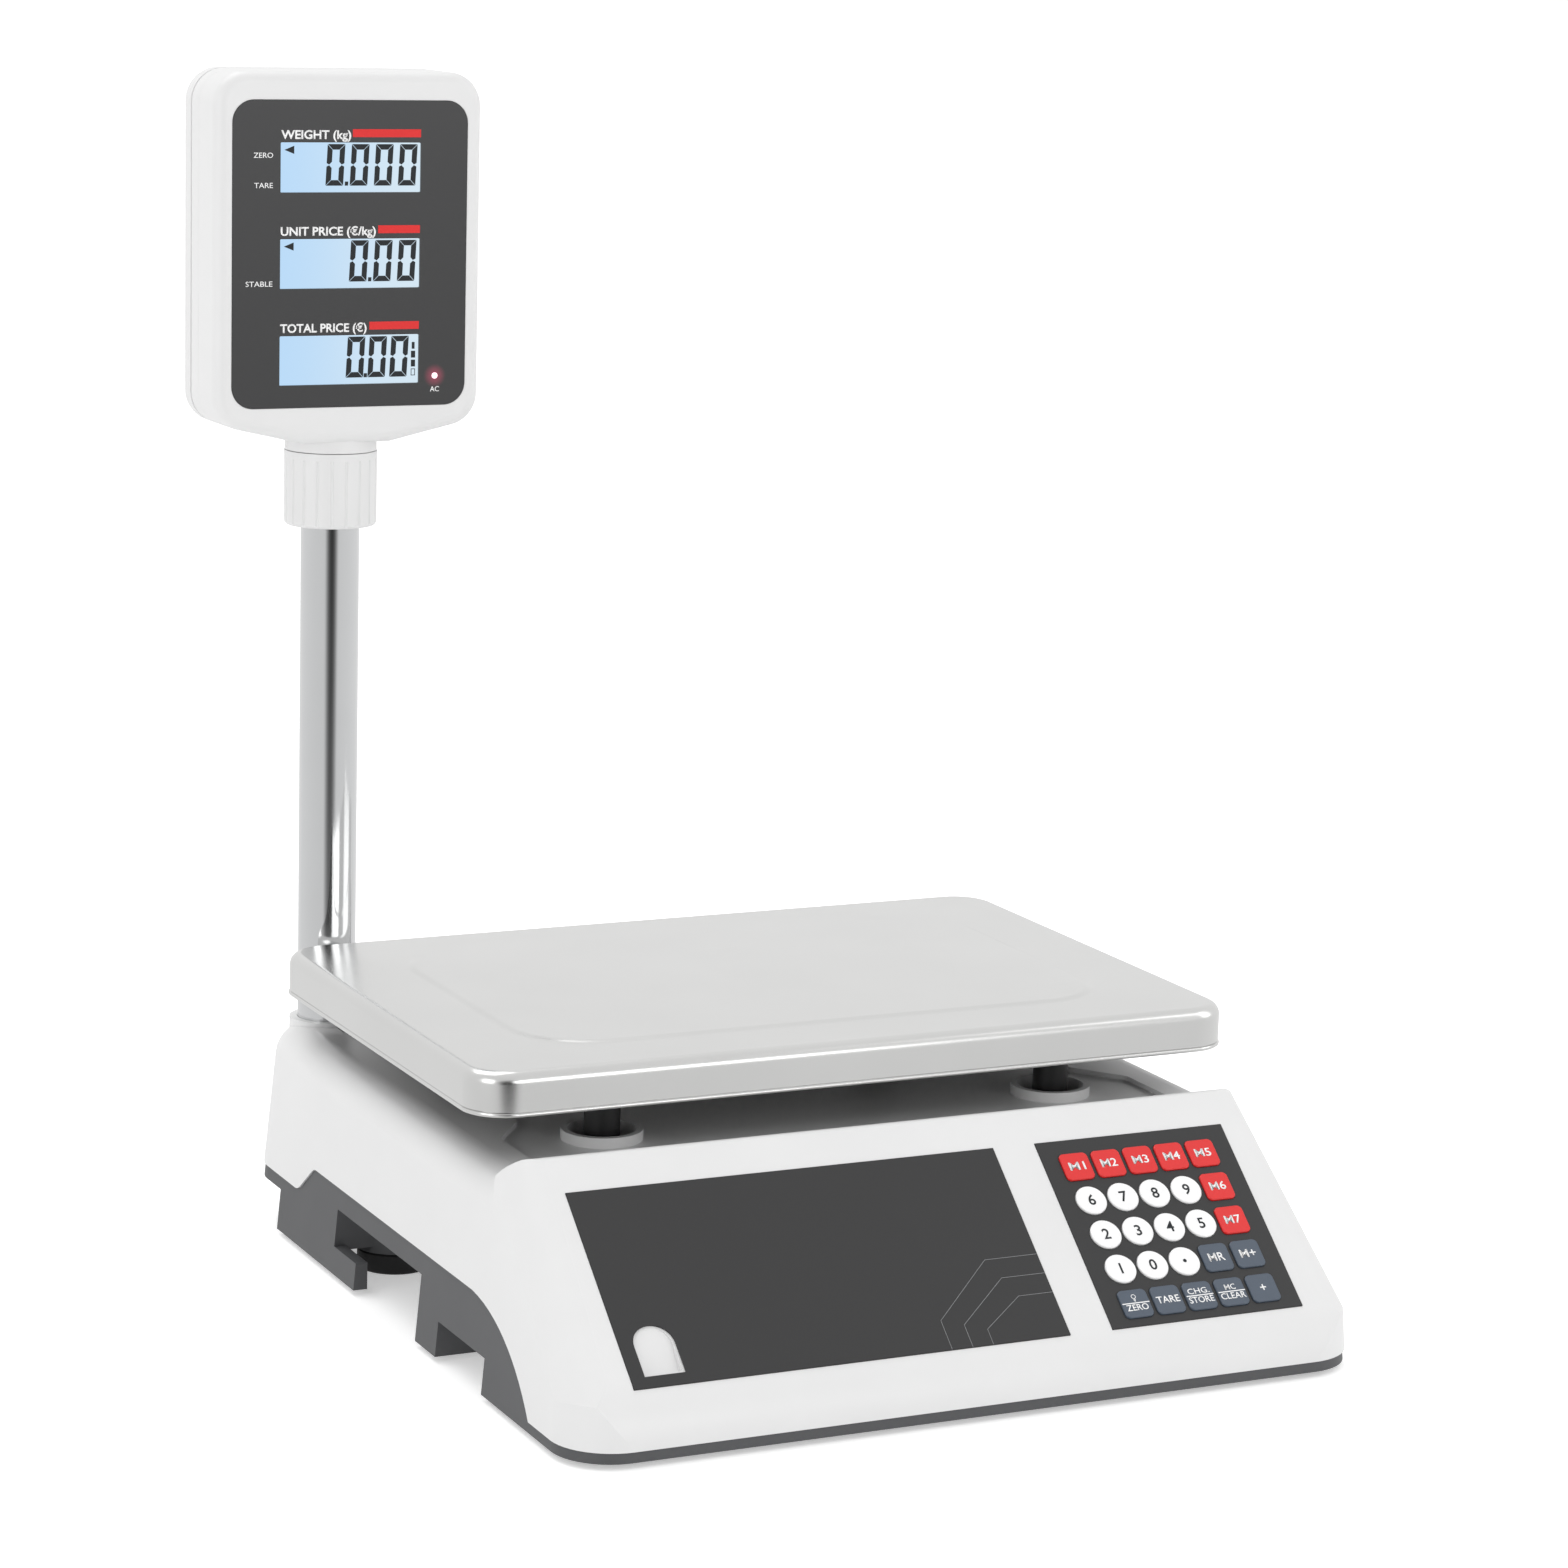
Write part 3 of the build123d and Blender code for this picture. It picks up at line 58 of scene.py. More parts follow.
MM = 0.001
RIGHT, BACK, UP = Vector((1, 0, 0)), Vector((0, 1, 0)), Vector((0, 0, 1))
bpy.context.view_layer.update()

# printing: its thickness, how far off its face it starts, and the thinner films
PRINT_DEPTH, PRINT_LIFT = 0.06 * MM, 0.02 * MM
LINE_FILM, DIGIT_FILM, MARK_FILM = 0.03 * MM, 0.04 * MM, 0.1 * MM
# points this near to a node's outermost level lie on its outer face
FACE_TOLERANCE = 0.05 * MM

# capital height of the built-in lettering at size 1
CAPITAL = 0.682

RED_KEYS = [f"m{number}" for number in range(1, 8)]
GREY_KEYS = ["mr", "m_plus", "zero", "tare", "store", "clear", "plus"]
WHITE_KEYS = [str(digit) for digit in range(10)] + ["point"]
KEY_WORDS = {name: name.upper() for name in RED_KEYS}
KEY_WORDS.update({"mr": "MR", "m_plus": "M+", "tare": "TARE", "plus": "+"})
# share of the key's width that a word takes, by its number of letters, and how tall a long one is
WORD_SHARES = {1: None, 2: 0.6, 4: 0.84}
LONG_WORD = 0.82
# keys with a line across them: what stands above it (nothing means the bulb) and below it
KEY_PAIRS = {"zero": ("", "ZERO"), "store": ("CHG.", "STORE"), "clear": ("MC", "CLEAR")}
LOWER_WORDS = {"ZERO": 0.8, "STORE": 0.92, "CLEAR": 0.92}
LETTER_SHARE, PAIR_HEIGHT, PAIR_GAP, BULB_HEIGHT = 0.2, 0.74, 0.22, 1.25
# the bulb, in shares of its height: glass radius, line, and its cap's bars (height, half width)
BULB_R, BULB_LINE = 0.3, 0.07
BULB_CAP = [(0.3, 0.15), (0.18, 0.13), (0.07, 0.08)]
POINT_R = 0.17

# which bars of a seven-bar digit are dark: a is the top, then clockwise to f, and g is the middle
DIGIT_BARS = {
    "0": "abcdef", "1": "bc", "2": "abged", "3": "abgcd", "4": "fgbc",
    "5": "afgcd", "6": "afgedc", "7": "abc", "8": "abcdefg", "9": "abcdfg",
}
DIGIT_LEAN = math.tan(math.radians(3.0))
DIGIT_FOOT = 2.6 * MM
# the decimal point's width, and its height as a share of that
POINT_W, POINT_TALL = 1.5 * MM, 1.15
# each window, from the top down: from its right end to the last digit, and the share of the pitch
NUMBER_ENDS = [1.7 * MM, 1.7 * MM, 4.7 * MM]
NUMBER_PITCHES = [1.0, 1.0, 0.91]
# the triangle: width, height, from the window's left end, from its top
POINTER_W, POINTER_H, POINTER_IN, POINTER_DROP = 4.3 * MM, 3.4 * MM, 1.6 * MM, 2.9 * MM
# the charge blocks: width, height, pitch, line, from the window's right end, from its foot
CHARGE_W, CHARGE_H, CHARGE_PITCH, CHARGE_LINE = 1.9 * MM, 2.9 * MM, 3.75 * MM, 0.3 * MM
CHARGE_IN, CHARGE_FOOT = 1.3 * MM, 3.0 * MM
CHARGE_BLOCKS = 4

# the display looks both ways: (name, outwards, its right-hand side)
DISPLAY_SIDES = [("front", -BACK, RIGHT), ("rear", BACK, -RIGHT)]
# from the top window down: (title, its width, width of its red bar), in mm
TITLES = [("WEIGHT (kg)", 30.7, 30.3), ("UNIT PRICE (€/kg)", 42.0, 18.7), ("TOTAL PRICE (€)", 38.3, 22.2)]
TITLE_GAP, BAR_GAP = 1.7 * MM, 2.4 * MM
# small words beside the windows: (window, word, width, how far below the window's top), in mm
SIDE_WORDS = [(0, "ZERO", 8.4, 5.1), (0, "TARE", 8.1, 17.5), (1, "STABLE", 11.7, 18.3)]
SIDE_WORD_GAP = 3.5 * MM
# two windows are at least this share of a digit's height apart, and a window is at least this tall
WINDOW_APART, WINDOW_LEAST = 0.6, 5 * MM
# the mains lamp: its place from the face's lower right corner, its word's foot and width
LAMP_FROM_RIGHT, LAMP_UP, LAMP_WORD_UP, LAMP_WORD_W = 13.6 * MM, 12.4 * MM, 5.7 * MM, 4.1 * MM
LAMP_R, LAMP_DOME = 1.3 * MM, 0.55
# how far the lamp's painted red glow reaches on the face: full, then nothing
PAINTED_GLOW_FULL, PAINTED_GLOW_END = 1.2 * MM, 5.5 * MM

# the lines on the front overlay, in mm: how many, the outermost's reach and rise, the step inwards
LINE_COUNT, LINE_REACH, LINE_RISE, LINE_STEP = 3, 52, 38, 9
LINE_W = 0.18 * MM
# where a line bends, as shares of its rise and its reach
LINE_BEND, LINE_KNEE = 0.35, 0.45

# the pan's bead: its first angle, the step and how many rings, then where the skirt starts above it
BEAD_FROM, BEAD_TURN, BEAD_RINGS, BEAD_TOP = -60, 40, 7, 2.4
ROLL_STEPS = FIELD_STEPS = 8
# the post's top edge is chamfered, and the cup stands clear of the post
POST_EDGE, CUP_GAP = 0.6 * MM, 0.25 * MM

# the side wall's lean, which the switch follows
SIDE_LEAN = math.radians(5.2)
# the stretch of the rocker's half height that a mark stands in, and its lift off the rocker
MARK_NEAR, MARK_FAR, MARK_LIFT = 0.3, 0.75, 0.35 * MM
# the on mark's width and height, and the off mark's inner and outer radius
MARK_LINE_W, MARK_LINE_H, MARK_RING = 0.5 * MM, 2.6 * MM, (1.0 * MM, 1.35 * MM)

# how bright the room is behind the scale and on the camera's side, and the light table
ROOM_BRIGHT, ROOM_DIM, TABLE_LEVEL, TABLE_BOUNCE = 0.9, 0.75, 0.42, 0.1
# a dark card beside the camera, which the pole and the pan's corners mirror: degrees
CARD_HEADING, CARD_REACH, CARD_BLUR, CARD_LEVEL = 192.0, 9.0, 23.0, 0.03
FLOOR_REACH = 30.0
# softboxes: (name, place, width, height, watts), all aimed at one point of the scale
LIGHT_AIM = Vector((0, 0, 0.15))
LIGHTS = [
    ("top_softbox", (-0.5, 0.9, 2.3), 1.8, 1.6, 16.0),
    ("left_softbox", (-2.3, -1.1, 0.8), 1.2, 1.2, 8.0),
    ("right_softbox", (2.0, -1.0, 1.3), 1.2, 1.8, 8.0),
    ("front_softbox", (0.6, -3.0, 0.9), 1.6, 1.0, 11.0),
]
CAMERA_LENS = 104.35
CAMERA_PLACE = Vector((-0.8053, -1.6508, 0.5751))
CAMERA_HEADING, CAMERA_DOWN, CAMERA_ROLL = 25.87, 11.07, 1.59


# ---------------------------------------------------------------- settings
def linear(code):
    """A hex sRGB colour as linear red, green and blue."""
    parts = [int(code[i:i + 2], 16) / 255 for i in (1, 3, 5)]
    return tuple(c / 12.92 if c <= 0.04045 else ((c + 0.055) / 1.055) ** 2.4 for c in parts)


def length(name, description, mm):
    return FloatProperty(
        name=name, description=description, default=mm * MM, subtype="DISTANCE", unit="LENGTH")


def wording(name, description, shown):
    return StringProperty(name=name, description=description, default=shown)


def colour(name, description, code):
    return FloatVectorProperty(
        name=name, description=description, default=linear(code), subtype="COLOR", size=3, min=0, max=1)


class PriceScaleSizes(bpy.types.PropertyGroup):
    pan_skirt_in: length("Skirt Inset", "How far the pan's skirt stands in from its hem", 0.5)
    pan_corner: length("Pan Corner", "Radius of the pan's upright corners", 19)
    pan_roll: length("Pan Roll", "Radius of the rolled edge round the pan's top", 5)
    pan_sheet: length("Pan Sheet", "Thickness of the pan's steel", 1)
    hem: length("Hem", "Radius of the bead along the skirt's foot", 0.9)
    field_margin_x: length("Field Margin X", "From the pan's ends to its raised field", 37)
    field_margin_y: length("Field Margin Y", "From the pan's long sides to its raised field", 31)
    field_corner: length("Field Corner", "Corner radius of the raised field", 34)
    field_step: length("Field Step", "Width of the step up to the raised field", 4)
    cup_wall: length("Cup Wall", "Wall of the cups that drop over the posts", 1.5)
    cup_drop: length("Cup Drop", "How far the cups reach below the sheet", 9)
    digit_height: length("Digit Height", "Height of a display digit", 17.2)
    digit_width: length("Digit Width", "Width of a display digit", 7.8)
    digit_bar: length("Digit Bar", "Thickness of a digit's bars", 2.3)
    digit_gap: length("Digit Gap", "Gap between two bars of a digit", 0.25)
    digit_pitch: length("Digit Pitch", "From one digit to the next", 10.7)
    title_height: length("Title Height", "Capital height of the display's titles", 3.4)
    label_height: length("Label Height", "Capital height of the display's small words", 2.1)
    bar_height: length("Bar Height", "Height of the red bars beside the titles", 3.3)
    key_word: length("Key Word Height", "Capital height of the words on the square keys", 3.7)
    key_digit: length("Key Digit Height", "Height of the digits on the round keys", 4.7)


class PriceScaleWords(bpy.types.PropertyGroup):
    weight: wording("Weight", "What the weight display shows", "0.000")
    unit_price: wording("Unit Price", "What the unit price display shows", "0.00")
    total: wording("Total Price", "What the total price display shows", "0.00")


class PriceScaleColours(bpy.types.PropertyGroup):
    cover: colour("Cover", "Upper cover and display head", "#E4E4E4")
    housing: colour("Housing", "Lower housing", "#505153")
    panel: colour("Panels", "Front overlays", "#1E1E1F")
    face: colour("Display Face", "Faces of the display head", "#343435")
    red: colour("Red", "Memory keys and display bars", "#DE2020")
    white: colour("White", "Number keys and light printing", "#F7F7F7")
    grey: colour("Key Grey", "Function keys", "#4B5664")
    steel: colour("Steel", "The pan", "#DDDDDC")
    glass: colour("Display", "Backlit display behind the digits", "#BBDDFB")
    ink: colour("Ink", "Dark printing and display digits", "#0E171D")


def sizes():
    return bpy.context.scene.price_scale_sizes


def colours():
    return bpy.context.scene.price_scale_colours


# ---------------------------------------------------------------- places on the frame
class Face:
    """A flat face of a CAD node: its matrix (x across, y up the face, z outwards) and its size."""

    def __init__(self, points, out, side):
        up = out.cross(side)
        across = [p.dot(side) for p in points]
        along = [p.dot(up) for p in points]
        level = max(p.dot(out) for p in points)
        self.width = max(across) - min(across)
        self.height = max(along) - min(along)
        middle = side * (max(across) + min(across)) / 2 + up * (max(along) + min(along)) / 2 + out * level
        self.matrix = Matrix((side, up, out)).transposed().to_4x4()
        self.matrix.translation = middle

    def lifted(self, lift=PRINT_LIFT):
        return self.matrix @ Matrix.Translation((0, 0, lift))


def outer_points(node, out):
    points = [v.co for v in frame["nodes"][node].data.vertices]
    level = max(p.dot(out) for p in points)
    return [p for p in points if p.dot(out) > level - FACE_TOLERANCE]


def outer_face(node, out, side):
    """The outermost face of a node in a direction."""
    return Face(outer_points(node, out), out, side)


def window_faces(out, side):
    """The display windows that look one way, from the top one down."""
    points = sorted(outer_points("lcd_modules", out), key=lambda p: -p.z)
    groups = [[points[0]]]
    for point in points[1:]:
        apart = groups[-1][-1].z - point.z > WINDOW_APART * sizes().digit_height
        if apart and groups[-1][0].z - groups[-1][-1].z > WINDOW_LEAST:
            groups.append([])
        groups[-1].append(point)
    return [Face(group, out, side) for group in groups]


def slope_out():
    """Outwards from the sloped front: against the way that a key is pressed."""
    press = next(j for j in frame["joints"] if j["name"] == "press_m1")
    return -Vector(press["axis"]).normalized()


# ---------------------------------------------------------------- meshes
def add_object(name, data):
    item = bpy.data.objects.new(name, data)
    bpy.context.collection.objects.link(item)
    return item


def finish_mesh(name, bm, material=None):
    """Turns a bmesh into a mesh and frees it."""
    mesh = bpy.data.meshes.new(name)
    bm.to_mesh(mesh)
    bm.free()
    if material:
        mesh.materials.append(material)
    return mesh


def keep(name, bm, material, body, smooth=None):
    """Makes a finished mesh into a piece that rides on a body."""
    mesh = finish_mesh(name, bm, material)
    if smooth is not None:
        mesh.shade_smooth()
        mesh.set_sharp_from_angle(angle=math.radians(smooth))
    piece = add_object(name, mesh)
    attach(piece, body)
    return piece


def add_shape(bm, points):
    """A flat face through points in the face's own plane."""
    return bm.faces.new([bm.verts.new((x, y, 0)) for x, y in points])


def add_bar(bm, x0, y0, x1, y1):
    return add_shape(bm, [(x0, y0), (x1, y0), (x1, y1), (x0, y1)])


def add_words(bm, words, x, y, height, width=None, align="CENTER", bold=0.02):
    """Lettering in the face's own plane: x is its left, middle or right, y its foot."""
    text = bpy.data.curves.new("words", "FONT")
    text.body = words
    text.offset = bold
    text.resolution_u = 3
    holder = add_object("words", text)
    bpy.context.view_layer.update()
    mesh = bpy.data.meshes.new_from_object(holder.evaluated_get(bpy.context.evaluated_depsgraph_get()))
    bpy.data.objects.remove(holder)
    bpy.data.curves.remove(text)
    left = min(v.co.x for v in mesh.vertices)
    wide = max(v.co.x for v in mesh.vertices) - left
    tall = height / CAPITAL
    stretch = width / wide if width else tall
    shift = {"LEFT": 0.0, "CENTER": 0.5, "RIGHT": 1.0}[align] * wide
    mesh.transform(
        Matrix.Translation((x, y, 0)) @ Matrix.Diagonal((stretch, tall, 1, 1))
        @ Matrix.Translation((-left - shift, 0, 0)))
    bm.from_mesh(mesh)
    bpy.data.meshes.remove(mesh)


def raise_print(bm, place, depth=PRINT_DEPTH):
    """Gives the flat shapes a thickness, then puts them in place."""
    bmesh.ops.remove_doubles(bm, verts=bm.verts[:], dist=1e-7)
    bmesh.ops.recalc_face_normals(bm, faces=bm.faces[:])
    for face in bm.faces:
        if face.normal.z < 0:
            face.normal_flip()
    grown = bmesh.ops.extrude_face_region(bm, geom=bm.faces[:])
    verts = [v for v in grown["geom"] if isinstance(v, bmesh.types.BMVert)]
    bmesh.ops.translate(bm, verts=verts, vec=(0, 0, depth))
    bmesh.ops.recalc_face_normals(bm, faces=bm.faces[:])
    bmesh.ops.transform(bm, matrix=place, verts=bm.verts[:])


def rounded_ring(bm, width, depth, radius, z, middle, segments=14):
    """A closed ring of edges, a rectangle with round corners, at one height."""
    old_faces, old_edges = set(bm.faces), set(bm.edges)
    corners = [
        bm.verts.new((middle.x + sx * width / 2, middle.y + sy * depth / 2, z))
        for sx, sy in ((-1, -1), (1, -1), (1, 1), (-1, 1))
    ]
    bm.faces.new(corners)
    bmesh.ops.bevel(bm, geom=corners, offset=radius, offset_type="OFFSET", segments=segments,
                    profile=0.5, affect="VERTICES", material=-1)
    ring = [e for e in bm.edges if e not in old_edges]
    bmesh.ops.delete(bm, geom=[f for f in bm.faces if f not in old_faces], context="FACES_ONLY")
    return ring


# ---------------------------------------------------------------- materials
def add_node(tree, kind, inputs=None, **settings):
    """Adds a node. An input takes a value or, to be linked, another node's output."""
    node = tree.nodes.new(kind)
    for name, value in settings.items():
        setattr(node, name, value)
    for name, value in (inputs or {}).items():
        if isinstance(value, bpy.types.NodeSocket):
            tree.links.new(value, node.inputs[name])
        else:
            node.inputs[name].default_value = value
    return node


def start_material(name, roughness, metallic=0.0, ior=None):
    """A material with its shader's uniform values set, and the object's own coordinates."""
    material = bpy.data.materials.new(name)
    material.use_nodes = True
    tree = material.node_tree
    shader = tree.nodes["Principled BSDF"]
    shader.inputs["Roughness"].default_value = roughness
    shader.inputs["Metallic"].default_value = metallic
    if ior:
        shader.inputs["IOR"].default_value = ior
    coordinates = add_node(tree, "ShaderNodeTexCoord").outputs["Object"]
    return material, tree, shader, coordinates


def per_mm(mm):
    """A noise scale whose grains are about this many millimetres across."""
    return 1 / (mm * MM)


def shade(rgb, factor):
    return (*[min(1.0, c * factor) for c in rgb], 1)


def add_mottle(tree, shader, coordinates, rgb, spread, blotch_mm):
    """A base colour that wavers a little around the given one."""
    blotches = add_node(tree, "ShaderNodeTexNoise", {
        "Vector": coordinates, "Scale": per_mm(blotch_mm), "Detail": 3.0, "Roughness": 0.55})
    ramp = add_node(tree, "ShaderNodeValToRGB", {"Fac": blotches.outputs["Fac"]})
    ramp.color_ramp.elements[0].position = 0.3
    ramp.color_ramp.elements[0].color = shade(rgb, 1 - spread)
    ramp.color_ramp.elements[1].position = 0.7
    ramp.color_ramp.elements[1].color = shade(rgb, 1 + spread)
    tree.links.new(ramp.outputs["Color"], shader.inputs["Base Color"])
    return blotches


def add_grain(tree, shader, coordinates, grain_mm, depth_mm, stretch=(1, 1, 1)):
    """Fine relief. The grain is drawn coarser than the real one, so that it shows."""
    mapping = add_node(tree, "ShaderNodeMapping", {"Vector": coordinates, "Scale": stretch})
    noise = add_node(tree, "ShaderNodeTexNoise", {
        "Vector": mapping.outputs["Vector"], "Scale": per_mm(grain_mm), "Detail": 4.0, "Roughness": 0.6})
    bump = add_node(tree, "ShaderNodeBump", {
        "Height": noise.outputs["Fac"], "Distance": depth_mm * MM, "Strength": 0.6})
    tree.links.new(bump.outputs["Normal"], shader.inputs["Normal"])
    return noise


def add_worn_gloss(tree, shader, noise, low, high):
    """Roughness that follows a noise between two values."""
    spread = add_node(tree, "ShaderNodeMapRange", {
        "Value": noise.outputs["Fac"], "From Min": 0.3, "From Max": 0.7, "To Min": low, "To Max": high})
    tree.links.new(spread.outputs["Result"], shader.inputs["Roughness"])


def moulded_abs(name, rgb, roughness, grain_mm=0.9, depth_mm=0.012, spread=0.012):
    """ABS, injection moulded: an even body colour, a soft sheen and a faint spark-eroded grain."""
    material, tree, shader, coordinates = start_material(name, roughness, ior=1.53)
    blotches = add_mottle(tree, shader, coordinates, rgb, spread, 45)
    add_grain(tree, shader, coordinates, grain_mm, depth_mm)
    add_worn_gloss(tree, shader, blotches, roughness - 0.03, roughness + 0.04)
    return material


def printed_film(name, rgb):
    """Polycarbonate overlay, printed on its back: dense dark colour under a fine satin skin."""
    material, tree, shader, coordinates = start_material(name, 0.42, ior=1.58)
    add_mottle(tree, shader, coordinates, rgb, 0.02, 30)
    noise = add_grain(tree, shader, coordinates, 0.5, 0.006)
    add_worn_gloss(tree, shader, noise, 0.38, 0.5)
    return material


def moulded_key(name, rgb):
    """Polycarbonate key cap: clean colour with a low satin gloss."""
    material, tree, shader, coordinates = start_material(name, 0.38, ior=1.58)
    add_mottle(tree, shader, coordinates, rgb, 0.015, 6)
    add_grain(tree, shader, coordinates, 0.6, 0.006)
    return material


def printing_ink(name, rgb):
    """Screen-printed ink: matt, with the mesh's slight unevenness."""
    material, tree, shader, coordinates = start_material(name, 0.55, ior=1.5)
    add_mottle(tree, shader, coordinates, rgb, 0.02, 0.7)
    return material


def rolled_stainless(name, rgb):
    """Stainless sheet, cold rolled and pressed: soft blurred reflections along a fine grain."""
    material, tree, shader, coordinates = start_material(name, 0.3, metallic=1.0)
    add_mottle(tree, shader, coordinates, rgb, 0.015, 60)
    grain = add_grain(tree, shader, coordinates, 0.7, 0.0004, stretch=(0.06, 1, 1))
    add_worn_gloss(tree, shader, grain, 0.22, 0.27)
    return material


def chrome_plate(name):
    """Bright chromium on steel tube: sharp reflections with a trace of haze along the tube."""
    material, tree, shader, coordinates = start_material(name, 0.09, metallic=1.0)
    add_mottle(tree, shader, coordinates, linear("#D9DADB"), 0.01, 30)
    haze = add_grain(tree, shader, coordinates, 3.0, 0.001, stretch=(1, 1, 0.05))
    add_worn_gloss(tree, shader, haze, 0.06, 0.14)
    return material


def zinc_steel(name):
    """Zinc-plated screw steel: greyish, with small crystals."""
    material, tree, shader, coordinates = start_material(name, 0.38, metallic=1.0)
    add_mottle(tree, shader, coordinates, linear("#B4B6B8"), 0.08, 1.2)
    return material


def milled_aluminium(name):
    """Aluminium alloy, milled: pale, with cutter lines across it."""
    material, tree, shader, coordinates = start_material(name, 0.36, metallic=1.0)
    add_mottle(tree, shader, coordinates, linear("#C9CBCD"), 0.03, 8)
    add_grain(tree, shader, coordinates, 0.6, 0.004, stretch=(1, 0.05, 1))
    return material


def foot_rubber(name):
    """Moulded rubber: near black and dull, with a fine bloom."""
    material, tree, shader, coordinates = start_material(name, 0.8, ior=1.52)
    add_mottle(tree, shader, coordinates, linear("#1B1B1C"), 0.15, 2.5)
    add_grain(tree, shader, coordinates, 0.5, 0.03)
    return material


def solder_mask(name):
    """Glass-epoxy board: green mask over paler copper tracks."""
    material, tree, shader, coordinates = start_material(name, 0.35, ior=1.55)
    tracks = add_node(tree, "ShaderNodeTexBrick", {
        "Vector": coordinates, "Scale": per_mm(30), "Color1": (*linear("#14502B"), 1),
        "Color2": (*linear("#175A31"), 1), "Mortar": (*linear("#2C7A45"), 1), "Mortar Size": 0.03})
    tree.links.new(tracks.outputs["Color"], shader.inputs["Base Color"])
    return material


def display_panel(name, rgb, lamps):
    """Tinted acrylic face: smooth and dark, with a painted red glow of the lamp's light around each lamp."""
    material, tree, shader, coordinates = start_material(name, 0.3, ior=1.49)
    add_mottle(tree, shader, coordinates, rgb, 0.02, 40)
    add_grain(tree, shader, coordinates, 0.6, 0.003)
    glow = None
    for lamp in lamps:
        away = add_node(tree, "ShaderNodeVectorMath", {0: coordinates, 1: lamp}, operation="DISTANCE")
        near = add_node(tree, "ShaderNodeMapRange", {
            "Value": away.outputs["Value"], "From Min": PAINTED_GLOW_FULL, "From Max": PAINTED_GLOW_END,
            "To Min": 1.0, "To Max": 0.0}, interpolation_type="SMOOTHSTEP")
        level = near.outputs["Result"]
        if glow is not None:
            both = add_node(tree, "ShaderNodeMath", {0: glow, 1: level}, operation="MAXIMUM")
            level = both.outputs["Value"]
        glow = level
    # painted light: the lamp's red glow on the face is emission in the face's own material
    ramp = add_node(tree, "ShaderNodeValToRGB", {"Fac": glow})
    ramp.color_ramp.elements[0].color = (0, 0, 0, 1)
    ramp.color_ramp.elements[1].color = (*linear("#8A2A44"), 1)
    tree.links.new(ramp.outputs["Color"], shader.inputs["Emission Color"])
    shader.inputs["Emission Strength"].default_value = 0.8
    return material


def backlit_display(name, rgb, middle, half_width, half_depth):
    """Liquid crystal over a light guide: pale blue, paler towards the end where the digits are."""
    material, tree, shader, coordinates = start_material(name, 0.12, ior=1.5)
    place = add_node(tree, "ShaderNodeMapping", {
        "Vector": coordinates, "Location": (-middle.x / half_width, -middle.y / half_depth, 0),
        "Scale": (1 / half_width, 1 / half_depth, 1)})
    split = add_node(tree, "ShaderNodeSeparateXYZ", {"Vector": place.outputs["Vector"]})
    # across runs from -1 to 1 from left to right for whoever looks at either face
    across = add_node(
        tree, "ShaderNodeMath", {0: split.outputs["X"], 1: split.outputs["Y"]}, operation="MULTIPLY")
    flow = add_node(tree, "ShaderNodeMapRange", {
        "Value": across.outputs["Value"], "From Min": 1.0, "From Max": -1.0}, interpolation_type="SMOOTHSTEP")
    ramp = add_node(tree, "ShaderNodeValToRGB", {"Fac": flow.outputs["Result"]})
    ramp.color_ramp.elements[0].color = shade(rgb, 1.0)
    ramp.color_ramp.elements[1].color = (*linear("#D8EAF6"), 1)
    tree.links.new(ramp.outputs["Color"], shader.inputs["Emission Color"])
    shader.inputs["Emission Strength"].default_value = 0.92
    shader.inputs["Base Color"].default_value = (*linear("#20262B"), 1)
    return material


def lamp_lens(name):
    """Lit diode lens: hot pink-white middle in clear epoxy."""
    material, tree, shader, coordinates = start_material(name, 0.2, ior=1.54)
    sparkle = add_node(tree, "ShaderNodeTexNoise", {"Vector": coordinates, "Scale": per_mm(0.8)})
    ramp = add_node(tree, "ShaderNodeValToRGB", {"Fac": sparkle.outputs["Fac"]})
    ramp.color_ramp.elements[0].color = (*linear("#FF6E98"), 1)
    ramp.color_ramp.elements[1].color = (*linear("#FFE3EC"), 1)
    tree.links.new(ramp.outputs["Color"], shader.inputs["Emission Color"])
    shader.inputs["Emission Strength"].default_value = 1.5
    return material


def backdrop_paper(name):
    """Matt backdrop paper over a light table: white, and lit from below so that shadows stay pale."""
    material, tree, shader, coordinates = start_material(name, 0.9, ior=1.45)
    add_mottle(tree, shader, coordinates, linear("#F7F7F7"), 0.004, 300)
    shader.inputs["Specular IOR Level"].default_value = 0.0
    shader.inputs["Emission Color"].default_value = (1, 1, 1, 1)
    seen = add_node(tree, "ShaderNodeLightPath").outputs["Is Camera Ray"]
    glow = add_node(tree, "ShaderNodeMapRange", {
        "Value": seen, "To Min": TABLE_BOUNCE, "To Max": TABLE_LEVEL})
    tree.links.new(glow.outputs["Result"], shader.inputs["Emission Strength"])
    return material


def find_material(name):
    material = bpy.data.materials.get(name)
    if material is None:
        raise RuntimeError(f"the finishes come first: there is no material {name}")
    return material


